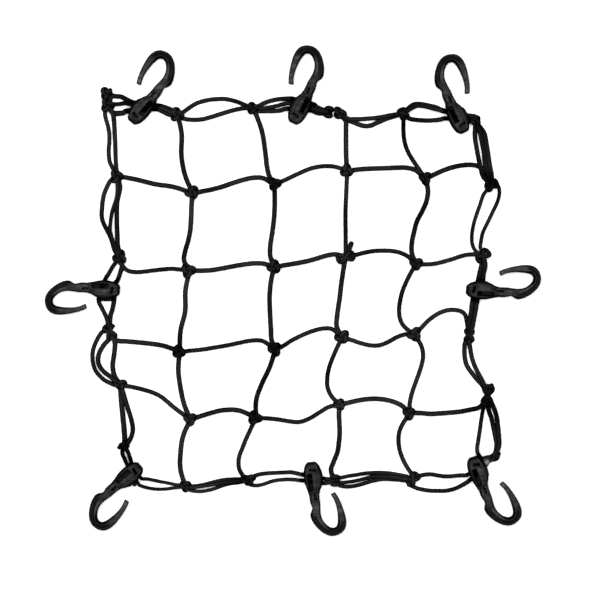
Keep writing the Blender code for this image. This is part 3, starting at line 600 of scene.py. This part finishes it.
def hook_finish(settings):
    """Return moulded plastic: fine grain, a faint mottle, rubbed places, painted highlights and
    painted shade.
    """
    finish = Finish("hook_plastic")
    grain = finish.noise(scale=1600.0, detail=2.0)
    mottle = finish.noise(scale=70.0, detail=5.0)
    stretched = {"Vector": finish.place, "Scale": SCRAPE_SCALE}
    lines = finish.node("ShaderNodeMapping", values=stretched)
    scrapes = finish.noise(scale=1.0, detail=4.0, place=lines)
    rubbed = finish.rise(scrapes * RUB_SCRAPES + mottle * RUB_MOTTLE, low=0.46, high=0.72)
    # Painted highlights: the plastic is drawn paler at the listed spots, more where it is rubbed
    painted_highlight = finish.attribute("painted_highlight") * (rubbed * HIGHLIGHT_RUBBED + HIGHLIGHT_PALE)
    pale = (rubbed * RUBBED_PALE + painted_highlight).clamped()
    lit = finish.mix(pale, settings.colour, settings.scuff_and_highlight_colour)
    # Painted shade: the plastic is drawn near black where it does not face up and where it lies
    # low, as down in the lug's openings
    above = finish.rise(finish.part(finish.place, "Z"), OPEN_LOW * MM, OPEN_HIGH * MM)
    shaded = [part * ROOF_SHADE for part in settings.colour]
    relief = grain * GRAIN_SHARE + scrapes * SCRAPE_SHARE
    finish.set(
        Base_Color=finish.mix(finish.open_sky(low=0.78, high=0.99) * above, shaded, lit),
        Roughness=mottle * MOTTLE_ROUGH - rubbed * RUBBED_SMOOTH + settings.roughness,
        Specular_IOR_Level=0.02,
        Normal=finish.bump(relief, strength=0.35, distance=GRAIN_DEPTH * MM),
    )
    return finish.material


def floor_finish(settings):
    """Return a matt floor with the faintest unevenness."""
    finish = Finish("pale_floor")
    dull = [part * FLOOR_CLOUD for part in settings.floor_colour]
    finish.set(
        Base_Color=finish.mix(finish.noise(scale=3.0, detail=3.0), settings.floor_colour, dull),
        Roughness=0.9,
        Specular_IOR_Level=0.1,
    )
    return finish.material


# --- cords


def smooth_route(points):
    """Return even points a step apart on a Catmull-Rom curve through the given ones."""
    points = np.asarray(points, float)
    ends = np.vstack((2 * points[0] - points[1], points, 2 * points[-1] - points[-2]))
    close = []
    for p0, p1, p2, p3 in zip(ends, ends[1:], ends[2:], ends[3:]):
        for t in np.linspace(0, 1, CURVE_STEPS, endpoint=False):
            curve = 2 * p1 + (p2 - p0) * t + (2 * p0 - 5 * p1 + 4 * p2 - p3) * t**2
            close.append((curve + (3 * p1 - p0 - 3 * p2 + p3) * t**3) / 2)
    close = np.array([*close, points[-1]])
    lengths = np.r_[0, np.cumsum(np.linalg.norm(np.diff(close, axis=0), axis=1))]
    even = np.linspace(0, lengths[-1], max(3, round(lengths[-1] / STRAND_STEP)) + 1)
    return np.stack([np.interp(even, lengths, close[:, k]) for k in range(3)], axis=1)


def lying(knot, radius):
    """Return where a cord lies on the floor in the middle of a knot."""
    return np.array((*knot[1:3], radius), float)


def hook_place(hook):
    """Return the placement of a hook, in millimetres."""
    _, x, y, degrees, *_ = hook
    return Matrix.Translation((x, y, 0.0)) @ Matrix.Rotation(radians(degrees), 4, "Z")


def mesh_route(start, end, offsets):
    """Return the route of a mesh strand, moved to the left of travel by these offsets."""
    travel = (end - start)[:2] / np.linalg.norm((end - start)[:2])
    left = np.array((-travel[1], travel[0], 0.0))
    last = len(offsets) - 1
    return smooth_route(
        [start + (end - start) * i / last + left * off for i, off in enumerate(offsets)]
    )


def pairs(flat):
    """Return the numbers two by two."""
    return zip(flat[::2], flat[1::2])


def border_route(start, end, places, radius):
    """Return the route of a border strand from knot to knot through these places."""
    points = [(x, y, radius) for x, y in pairs(places)]
    return smooth_route([lying(start, radius), *points, lying(end, radius)])


def hooked_route(row, knots, hooks, radius):
    """Return the route of a border strand that passes through a hook."""
    start, _, before, name, through, after, end = row
    place, side = hook_place(hooks[name]), hooks[name][-1]
    seats = [c for u, v in pairs(through) for c in (place @ Vector((u, v * side, 0)))[:2]]
    route = border_route(knots[start], knots[end], (*before, *seats, *after), radius)
    back = place.inverted()
    for point in route:
        local = back @ Vector((*point[:2], 0))
        beside = max(LUG_AXIS[0] - local.x, 0, local.x - LUG_AXIS[1])
        away = np.hypot(beside, local.y) - LUG_REACH
        share = min(max(1 - away / LUG_SLOPE, 0), 1)
        point[2] += (SEAT_Z - radius) * share * share * (3 - 2 * share)
    return route


def knot_cover(point, knot):
    """Tell whether a point of a route is hidden in the knot."""
    _, x, y, length, width, _, turn = knot
    local = Matrix.Rotation(-radians(turn), 2) @ Vector((point[0] - x, point[1] - y))
    return (2 * local.x / length) ** 2 + (2 * local.y / width) ** 2 < KNOT_COVER


def settle(routes, radius, knots):
    """Lift each route over those laid before it, where the cords would share a place."""
    laid = np.empty((0, 3))
    settled = []
    gap = 2 * radius * PRESSED
    for route in routes:
        need = route[:, 2].copy()
        for i, point in enumerate(route):
            if point[2] > SEATED or any(knot_cover(point, knot) for knot in knots):
                continue
            apart = np.hypot(laid[:, 0] - point[0], laid[:, 1] - point[1])
            near = apart < gap
            if near.any():
                rise = laid[near, 2] + np.sqrt(gap**2 - apart[near] ** 2)
                need[i] = min(max(need[i], rise.max()), HEAP_LIMIT)
        height = need.copy()
        for _ in range(EASE_PASSES):
            padded = np.r_[height[0], height, height[-1]]
            height = np.maximum(need, (padded[:-2] + padded[1:-1] * 2 + padded[2:]) / 4)
        height[route[:, 2] > SEATED] = SEAT_Z
        route = np.column_stack((route[:, :2], height))
        laid = np.vstack((laid, route))
        settled.append(route)
    return settled


def knot_route(knot, radius):
    """Return the closed route of the cord that makes a knot."""
    name, x, y, length, width, height, turn = knot
    t = np.linspace(0, 2 * pi, KNOT_RINGS, endpoint=False)
    if name in WRAPPED:
        path = (np.cos(t), np.sin(2 * t), np.cos(2 * t))
    elif name in CROSSED:
        bulge = 1 + CROSS_BULGE * np.cos(t)
        path = (np.sin(t), np.sin(2 * t) * bulge, np.cos(2 * t) * bulge)
    else:
        path = (np.sin(t) + 2 * np.sin(2 * t), np.cos(t) - 2 * np.cos(2 * t), -np.sin(3 * t))
    path = np.stack(path)
    low, high = path.min(axis=1, keepdims=True), path.max(axis=1, keepdims=True)
    path = (path - (low + high) / 2) / ((high - low) / 2)
    half = np.array((length, width, height))[:, None] / 2 - radius
    path = path * half + np.array((0, 0, height / 2))[:, None]
    along, aside, rise = path
    c, s = cos(radians(turn)), sin(radians(turn))
    return np.stack((x + c * along - s * aside, y + s * along + c * aside, rise), axis=1)


def frames_along(route, closed):
    """Return the two sideways directions at each point, turned as little as possible."""
    if closed:
        travel = np.roll(route, -1, axis=0) - np.roll(route, 1, axis=0)
    else:
        travel = np.gradient(route, axis=0)
    travel /= np.linalg.norm(travel, axis=1, keepdims=True)
    up = np.array((0.0, 0.0, 1.0))
    ups = []
    for direction in travel:
        up = up - direction * (up @ direction)
        up /= np.linalg.norm(up)
        ups.append(up)
    ups = np.array(ups)
    if closed:  # share out the turn that is left over when the route closes
        end = ups[-1] - travel[0] * (ups[-1] @ travel[0])
        spare = np.arctan2(np.cross(end, ups[0]) @ travel[0], end @ ups[0])
        turns = (np.arange(len(ups)) / len(ups) * spare)[:, None]
        ups = ups * np.cos(turns) + np.cross(travel, ups) * np.sin(turns)
    return np.cross(travel, ups), ups


def hold(mesh, name, values):
    """Give each point of the mesh a number that its finish reads."""
    mesh.attributes.new(name, "FLOAT", "POINT").data.foreach_set("value", values)


class Skein:
    """Tubes of cord that are collected into one mesh, with a map along the cord."""

    def __init__(self):
        self.verts, self.faces, self.uvs, self.slot_shade = [], [], [], []

    def add(self, route, radius, sides, closed=False, swell=1.0, slot_shade=0.0):
        """Add a tube round a route, in millimetres, and note where it lies in a slot, drawn dark
        as painted shade.
        """
        first, rings = len(self.verts), len(route)
        steps = np.linalg.norm(np.roll(route, -1, axis=0) - route, axis=1)
        lengths = np.r_[0, np.cumsum(steps)] * MM
        angles = np.linspace(0, 2 * pi, sides, endpoint=False)
        reach = np.broadcast_to(radius * swell, rings)
        for point, side, up, size in zip(route, *frames_along(route, closed), reach):
            ring = point + size * (np.outer(np.sin(angles), side) + np.outer(np.cos(angles), up))
            self.verts.extend(ring * MM)
        self.slot_shade.extend(np.repeat(np.broadcast_to(slot_shade, rings), sides))
        for i in range(rings if closed else rings - 1):
            here, there = first + i * sides, first + (i + 1) % rings * sides
            low, high = lengths[i], lengths[i + 1]
            for k in range(sides):
                m = (k + 1) % sides
                self.faces.append([here + k, here + m, there + m, there + k])
                left, right = k / sides, (k + 1) / sides
                self.uvs += [(left, low), (right, low), (right, high), (left, high)]
        if not closed:
            self.cap(first, sides, lengths[0], -1)
            self.cap(first + (rings - 1) * sides, sides, lengths[rings - 1], 1)

    def cap(self, first, sides, length, turn):
        """Close a tube's end."""
        self.faces.append([*range(first, first + sides)][::turn])
        self.uvs += [(k / sides, length) for k in range(sides)]

    def mesh(self, name):
        """Return the mesh of all the tubes."""
        mesh = bpy.data.meshes.new(name)
        mesh.from_pydata([tuple(v) for v in self.verts], [], self.faces)
        layer = mesh.uv_layers.new(name="cord")
        layer.data.foreach_set("uv", np.array(self.uvs, float).ravel())
        x, y, reach = SLEEVE
        places = np.array(self.verts) / MM
        away = np.hypot(places[:, 0] - x, places[:, 1] - y)
        hold(mesh, "slot_shade", self.slot_shade)
        hold(mesh, "sleeve", (away < reach).astype(float))
        bm = bmesh.new()
        bm.from_mesh(mesh)
        bmesh.ops.recalc_face_normals(bm, faces=bm.faces)
        bm.to_mesh(mesh)
        bm.free()
        mesh.shade_smooth()
        return mesh


def cut_end(root, tip, radius):
    """Return the route of a short cut end and how its width eases off at the tip."""
    root, end = np.array((*root, radius)), np.array((*tip, radius))
    route = smooth_route([root + (0, 0, radius), (root + end) / 2 + (0, 0, radius / 2), end])
    swell = np.ones(len(route))
    swell[-1] = END_TAPER
    return route, swell


def show_cords(name, routes, widths, knots, ends, settings, diameter, cord_slot):
    """Make one piece of all these strands, knots and cut ends."""
    radius = diameter / MM / 2
    skein = Skein()
    for route, width in zip(routes, map(np.atleast_1d, widths)):
        places = np.linspace(0, 1, len(width))
        swell = np.interp(np.linspace(0, 1, len(route)), places, width) / (2 * radius)
        # Painted shade: a cord in a lug's slot is drawn dark, as under the lug's roof
        inside = np.isclose(route[:, 2], SEAT_Z).astype(float)
        route[:, 2] = np.maximum(route[:, 2], radius * swell)
        skein.add(route, radius, STRAND_SIDES, swell=swell, slot_shade=inside)
    for knot in knots:
        skein.add(knot_route(knot, radius * KNOT_CORD), radius * KNOT_CORD, KNOT_SIDES, True)
    for *root, x, y in ends:
        route, swell = cut_end(root, (x, y), radius)
        skein.add(route, radius, STRAND_SIDES, swell=swell)
    piece = bpy.data.objects.new(name, skein.mesh(name))
    bpy.context.scene.collection.objects.link(piece)
    piece.data.materials.append(cord_finish(f"{cord_slot}_sheath", settings, diameter))
    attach(piece, BODY)
    return piece


class CARGONET_OT_mesh_cords(bpy.types.Operator):
    """Lay the knotted cords inside the border"""

    bl_idname = "cargonet.mesh_cords"
    bl_label = "Mesh Cords"

    def execute(self, context):
        settings = context.scene.cargo_net_cords
        diameter = settings.mesh_diameter
        middles = {knot[0]: lying(knot, diameter / MM / 2) for knot in MESH_KNOTS + BORDER_KNOTS}
        routes = [mesh_route(middles[a], middles[b], offs) for a, b, _, *offs in MESH_STRANDS]
        widths = [diameter / MM * share for _, _, share, *_ in MESH_STRANDS]
        tied = (MESH_KNOTS, MESH_ENDS, settings, diameter, "mesh_cord")
        piece = show_cords("net_mesh_cords", routes, widths, *tied)
        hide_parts("mesh_cords")
        return {"FINISHED"}


class CARGONET_OT_border_cords(bpy.types.Operator):
    """Lay the border's cords, through the hooks and into the border's knots"""

    bl_idname = "cargonet.border_cords"
    bl_label = "Border Cords"

    def execute(self, context):
        settings = context.scene.cargo_net_cords
        diameter = settings.border_diameter
        radius = diameter / MM / 2
        knots = {knot[0]: knot for knot in BORDER_KNOTS}
        hooks = {hook[0]: hook for hook in HOOKS}
        routes = [hooked_route(row, knots, hooks, radius) for row in HOOKED_STRANDS]
        for start, end, _, places in BORDER_STRANDS:
            routes.append(border_route(knots[start], knots[end], places, radius))
        routes = settle(routes, radius, BORDER_KNOTS)
        widths = [row[1] for row in HOOKED_STRANDS] + [row[2] for row in BORDER_STRANDS]
        tied = (BORDER_KNOTS, BORDER_ENDS, settings, diameter, "border_cord")
        piece = show_cords("net_border_cords", routes, widths, *tied)
        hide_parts("border_cords")
        return {"FINISHED"}


# --- hooks


def begin(add, name, **settings):
    """Add a primitive on its own and open it in edit mode."""
    bpy.ops.object.select_all(action="DESELECT")
    add(**settings)
    item = bpy.context.active_object
    item.name = item.data.name = name
    bpy.ops.object.transform_apply(location=True, rotation=True, scale=True)
    bpy.ops.object.mode_set(mode="EDIT")
    return item


def choose(item, kind, test):
    """Select only what passes the test, which is given its middle in millimetres."""
    bpy.ops.mesh.select_mode(type=kind)
    bpy.ops.mesh.select_all(action="DESELECT")
    bm = bmesh.from_edit_mesh(item.data)
    found = 0
    for part in {"VERT": bm.verts, "EDGE": bm.edges, "FACE": bm.faces}[kind]:
        corners = [part.co] if kind == "VERT" else [v.co for v in part.verts]
        if test(sum(corners, Vector()) / len(corners) / MM, part):
            part.select_set(True)
            found += 1
    bm.select_flush_mode()
    bmesh.update_edit_mesh(item.data)
    if not found:
        raise RuntimeError(f"nothing to select on {item.name}")


def move(x=0.0, y=0.0, z=0.0):
    """Move what is selected, in millimetres."""
    bpy.ops.transform.translate(value=(x * MM, y * MM, z * MM))


def extrude(x, y, z):
    """Extrude what is selected, in millimetres."""
    shift = (x * MM, y * MM, z * MM)
    bpy.ops.mesh.extrude_region_move(TRANSFORM_OT_translate={"value": shift})


def finish_with(item, kind, **settings):
    """Give the item a modifier and apply it."""
    modifier = item.modifiers.new(kind.title(), kind)
    for name, value in settings.items():
        setattr(modifier, name, value)
    bpy.ops.object.modifier_apply(modifier=modifier.name)


def extrude_to(station, previous):
    """Extrude the selected cross edge from the previous station to the next."""
    old = [Vector((*previous[:2], 0)), Vector((*previous[2:], 0))]
    new = [Vector((*station[:2], 0)), Vector((*station[2:], 0))]
    extrude(*(sum(new, Vector()) - sum(old, Vector())) / 2)
    centre = sum(new, Vector()) / 2 * MM
    turn = (old[1] - old[0]).xy.angle_signed((new[1] - new[0]).xy)
    if abs(turn) > 1e-6:
        bpy.ops.transform.rotate(value=turn, orient_axis="Z", center_override=centre)
    size = (new[1] - new[0]).length / (old[1] - old[0]).length
    bpy.ops.transform.resize(value=(size, size, 1), center_override=centre)


def model_hooked_part():
    """Model neck, heel, crown and arm as a strip that is extruded and given relief."""
    half = NECK_SIDE / 2
    middle = ((NECK_START + half) * MM, 0, 0)
    add = bpy.ops.mesh.primitive_plane_add
    item = begin(add, "hooked_part", size=NECK_SIDE * MM, location=middle)
    stations = ((NECK_START, -half, NECK_START, half), *STATIONS)
    choose(item, "EDGE", lambda at, _: at.x > stations[1][0] - NEAR)
    for previous, station in zip(stations[1:], stations[2:]):
        extrude_to(station, previous)

    spots = kdtree.KDTree(len(stations) * (COLUMNS + 1))
    for i, (uo, vo, ui, vi) in enumerate(stations):
        for k in range(COLUMNS + 1):
            spot = Vector((uo, vo, 0)).lerp(Vector((ui, vi, 0)), k / COLUMNS)
            spots.insert(spot, i * (COLUMNS + 1) + k)
    spots.balance()

    def cell(vertex):
        """Return the station and the column of a vertex."""
        return divmod(spots.find(Vector((*vertex.co.xy, 0)) / MM)[1], COLUMNS + 1)

    choose(item, "EDGE", lambda _, edge: cell(edge.verts[0])[0] == cell(edge.verts[1])[0])
    bpy.ops.mesh.subdivide(number_cuts=COLUMNS - 1)
    bpy.ops.mesh.select_all(action="SELECT")
    extrude(0, 0, HALF_THICK)
    choose(item, "FACE", lambda at, _: at.z < NEAR)
    bpy.ops.mesh.delete(type="FACE")

    for first, last, start, end, drop in RELIEF:

        def picked(at, vertex, low=(first + 1, start), high=(last + 1, end)):
            return at.z > RIM and all(a <= b <= c for a, b, c in zip(low, cell(vertex), high))

        choose(item, "VERT", picked)
        move(z=-drop)

    for place in NECK_CUTS:
        choose(item, "FACE", lambda at, _: at.x < stations[1][0])
        bpy.ops.mesh.bisect(plane_co=(place * MM, 0, 0), plane_no=(1, 0, 0))
    for us, vs, depth in NECK_SLOTS:

        def inside(at, face, us=us, vs=vs):
            return face.normal.z > FACING and us[0] < at.x < us[1] and vs[0] < at.y < vs[1]

        choose(item, "FACE", inside)
        bpy.ops.mesh.inset(thickness=GROOVE_STEP * MM, depth=0)
        move(z=-depth)
    return item


def model_lug():
    """Model the egg-shaped lug with its cross slot."""
    start, end = LUG_SHAPE[0][0], LUG_SHAPE[-1][0]
    item = begin(
        bpy.ops.mesh.primitive_cube_add,
        "lug",
        size=1.0,
        location=((start + end) / 2 * MM, 0, LUG_HEIGHT / 2 * MM),
        scale=((end - start) * MM, LUG_WIDTH * MM, LUG_HEIGHT * MM),
    )
    cuts = [((u, 0, 0), (1, 0, 0)) for u, *_ in LUG_SHAPE[1:-1]]
    cuts += [((0, v, 0), (0, 1, 0)) for v, _ in LUG_DOME[1:-1]]
    cuts += [((0, 0, z), (0, 0, 1)) for z in (SLOT_LOW, SLOT_HIGH)]
    for place, normal in cuts:
        bpy.ops.mesh.select_all(action="SELECT")
        bpy.ops.mesh.bisect(plane_co=[c * MM for c in place], plane_no=normal)

    top = LUG_HEIGHT - NEAR
    for side, drop in LUG_DOME:
        choose(item, "VERT", lambda at, _, v=side: at.z > top and abs(at.y - v) < NEAR)
        move(z=-drop)
    for u, low, high, rise in LUG_SHAPE:
        choose(item, "VERT", lambda at, _, u=u: abs(at.x - u) < NEAR)
        wide = (high - low) / LUG_WIDTH
        bpy.ops.transform.resize(value=(1, wide, rise), center_override=(u * MM, 0, 0))
        move(y=(low + high) / 2)

    def in_slot(at, face):
        low, high = SLOT_LOW - SLOT_SLACK, SLOT_HIGH
        side = abs(face.normal.y) > FACING
        return side and low < at.z < high and SLOT_START < at.x < SLOT_END

    choose(item, "FACE", in_slot)
    bpy.ops.mesh.delete(type="FACE")
    choose(item, "EDGE", lambda _, edge: edge.is_boundary)
    bpy.ops.mesh.bridge_edge_loops()
    return item


def model_opening(spans, rounding, degrees):
    """Model the block that opens the lug's roof over the cords."""
    low = Vector([span[0] for span in spans])
    size = Vector([span[1] for span in spans]) - low
    centre = (low + size / 2) * MM
    add = bpy.ops.mesh.primitive_cube_add
    item = begin(add, "opening", size=1.0, location=centre, scale=size * MM)
    choose(item, "EDGE", lambda _, edge: abs(edge.verts[0].co.z - edge.verts[1].co.z) > MM)
    bpy.ops.mesh.bevel(offset=rounding * MM, segments=3)
    bpy.ops.mesh.select_all(action="SELECT")
    bpy.ops.transform.rotate(value=-radians(degrees), orient_axis="Z", center_override=centre)
    return item


def close_edit(item):
    """Make the faces point outwards and leave edit mode."""
    bpy.ops.mesh.select_all(action="SELECT")
    bpy.ops.mesh.normals_make_consistent(inside=False)
    bpy.ops.object.mode_set(mode="OBJECT")


def join(item, other, operation):
    """Unite the item with another one or cut it with that, and take the other away."""
    bpy.context.view_layer.objects.active = item
    finish_with(item, "BOOLEAN", operation=operation, object=other, solver="EXACT")
    bpy.data.objects.remove(other, do_unlink=True)


def painted_highlight_at(at):
    """Return how strong the painted highlight is at this place."""
    return sum(
        share * max(0.0, 1 - (at - Vector((u, v))).length_squared / reach**2) ** 2
        for u, v, reach, share in PAINTED_HIGHLIGHTS
    )


def model_hook():
    """Model a whole hook, its lug's end at the origin and its tip to the left."""
    hooked = model_hooked_part()
    close_edit(hooked)
    mirror = {"use_axis": (False, False, True), "use_clip": True, "merge_threshold": WELD * MM}
    finish_with(hooked, "MIRROR", **mirror)
    finish_with(hooked, "SUBSURF", levels=1, render_levels=1)
    move(z=LUG_HEIGHT / 2)
    bpy.ops.object.transform_apply(location=True)
    lug = model_lug()
    close_edit(lug)
    finish_with(lug, "SUBSURF", levels=2, render_levels=2)
    join(lug, hooked, "UNION")
    for *spans, rounding, degrees in OPENINGS:
        opening = model_opening(spans, rounding, degrees)
        close_edit(opening)
        join(lug, opening, "DIFFERENCE")
    bpy.ops.object.mode_set(mode="EDIT")
    close_edit(lug)
    lug.data.shade_smooth()
    # Painted highlights are held at the hook's points for its finish
    hold(lug.data, "painted_highlight", [painted_highlight_at(vertex.co.xy / MM) for vertex in lug.data.vertices])
    return lug


class CARGONET_OT_hooks(bpy.types.Operator):
    """Model one moulded hook and set the eight in their places"""

    bl_idname = "cargonet.hooks"
    bl_label = "Hooks"

    def execute(self, context):
        finish = hook_finish(context.scene.cargo_net_hooks)
        pattern = model_hook()
        for hook in HOOKS:
            name, *_, length, width, side = hook
            mesh = pattern.data.copy()
            mesh.name = f"net_hook_{name}"
            mesh.transform(Matrix.Diagonal((length, width, 1.0, 1.0)))
            if side < 0:
                mesh.transform(Matrix.Scale(-1, 4, (0, 1, 0)))
                mesh.flip_normals()
            place = hook_place(hook)
            place.translation *= MM
            mesh.transform(place)
            mesh.materials.clear()
            mesh.materials.append(finish)
            piece = bpy.data.objects.new(mesh.name, mesh)
            context.scene.collection.objects.link(piece)
            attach(piece, BODY)
            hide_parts(f"hook_{name}")
        bpy.data.objects.remove(pattern, do_unlink=True)
        return {"FINISHED"}


# --- stage


class CARGONET_OT_stage(bpy.types.Operator):
    """Make the floor, the soft light and the camera"""

    bl_idname = "cargonet.stage"
    bl_label = "Stage"

    def execute(self, context):
        settings = context.scene.cargo_net_stage
        scene = context.scene
        item = begin(bpy.ops.mesh.primitive_plane_add, "floor", size=settings.floor_size)
        bpy.ops.mesh.select_all(action="SELECT")
        extrude(0, 0, -FLOOR_THICK / MM)
        close_edit(item)
        finish_with(item, "BEVEL", width=FLOOR_EDGE, segments=3)
        item.data.materials.append(floor_finish(settings))

        bpy.ops.object.light_add(type="AREA", location=LAMP_PLACE)
        lamp = bpy.context.active_object
        lamp.name = "soft_light"
        lamp.data.shape = "DISK"
        lamp.data.size = LAMP_SIZE
        lamp.data.energy = settings.light_power
        lamp.rotation_euler = (-lamp.location).to_track_quat("-Z", "Y").to_euler()

        scene.world = bpy.data.worlds.new("studio")
        scene.world.use_nodes = True
        sky = scene.world.node_tree.nodes["Background"]
        sky.inputs["Color"].default_value = SKY_COLOUR
        sky.inputs["Strength"].default_value = SKY_STRENGTH

        height = settings.camera_height
        bpy.ops.object.camera_add(location=Vector(VIEW_CENTRE) + Vector((0, 0, height)))
        camera = bpy.context.active_object
        camera.name = "camera"
        camera.rotation_euler = (0, 0, 0)
        camera.data.lens = camera.data.sensor_width * height / settings.view_width
        camera.data.clip_end = VIEW_DEPTH
        scene.camera = camera
        scene.view_settings.view_transform = "Standard"
        return {"FINISHED"}


class CARGONET_PT_panel(bpy.types.Panel):
    """Lists the net's pieces and their settings"""

    bl_idname = "CARGONET_PT_panel"
    bl_label = "Cargo Net"
    bl_space_type = "VIEW_3D"
    bl_region_type = "UI"
    bl_category = "Cargo Net"

    def draw(self, context):
        for group, (_, *operators) in GROUPS.items():
            box = self.layout.box()
            settings = getattr(context.scene, group)
            for name in settings.__annotations__:
                box.prop(settings, name)
            for operator in operators:
                box.operator(operator)


# Settings on the scene: class, operators that the panel shows under them
GROUPS = {
    "cargo_net_cords": (CargoNetCordSettings, "cargonet.mesh_cords", "cargonet.border_cords"),
    "cargo_net_hooks": (CargoNetHookSettings, "cargonet.hooks"),
    "cargo_net_stage": (CargoNetStageSettings, "cargonet.stage"),
}
CLASSES = (
    *(group[0] for group in GROUPS.values()),
    CARGONET_OT_mesh_cords,
    CARGONET_OT_border_cords,
    CARGONET_OT_hooks,
    CARGONET_OT_stage,
    CARGONET_PT_panel,
)


def register():
    """Register the classes and hang the settings on the scene."""
    for cls in CLASSES:
        bpy.utils.register_class(cls)
    for name, (cls, *_) in GROUPS.items():
        setattr(bpy.types.Scene, name, bpy.props.PointerProperty(type=cls))


def unregister():
    """Take the settings and classes away again."""
    for name in GROUPS:
        delattr(bpy.types.Scene, name)
    for cls in reversed(CLASSES):
        bpy.utils.unregister_class(cls)


def main():
    """Register the settings and build every piece."""
    register()
    bpy.ops.cargonet.mesh_cords()
    bpy.ops.cargonet.border_cords()
    bpy.ops.cargonet.hooks()
    bpy.ops.cargonet.stage()
    bpy.context.view_layer.update()


if __name__ == "__main__":
    main()
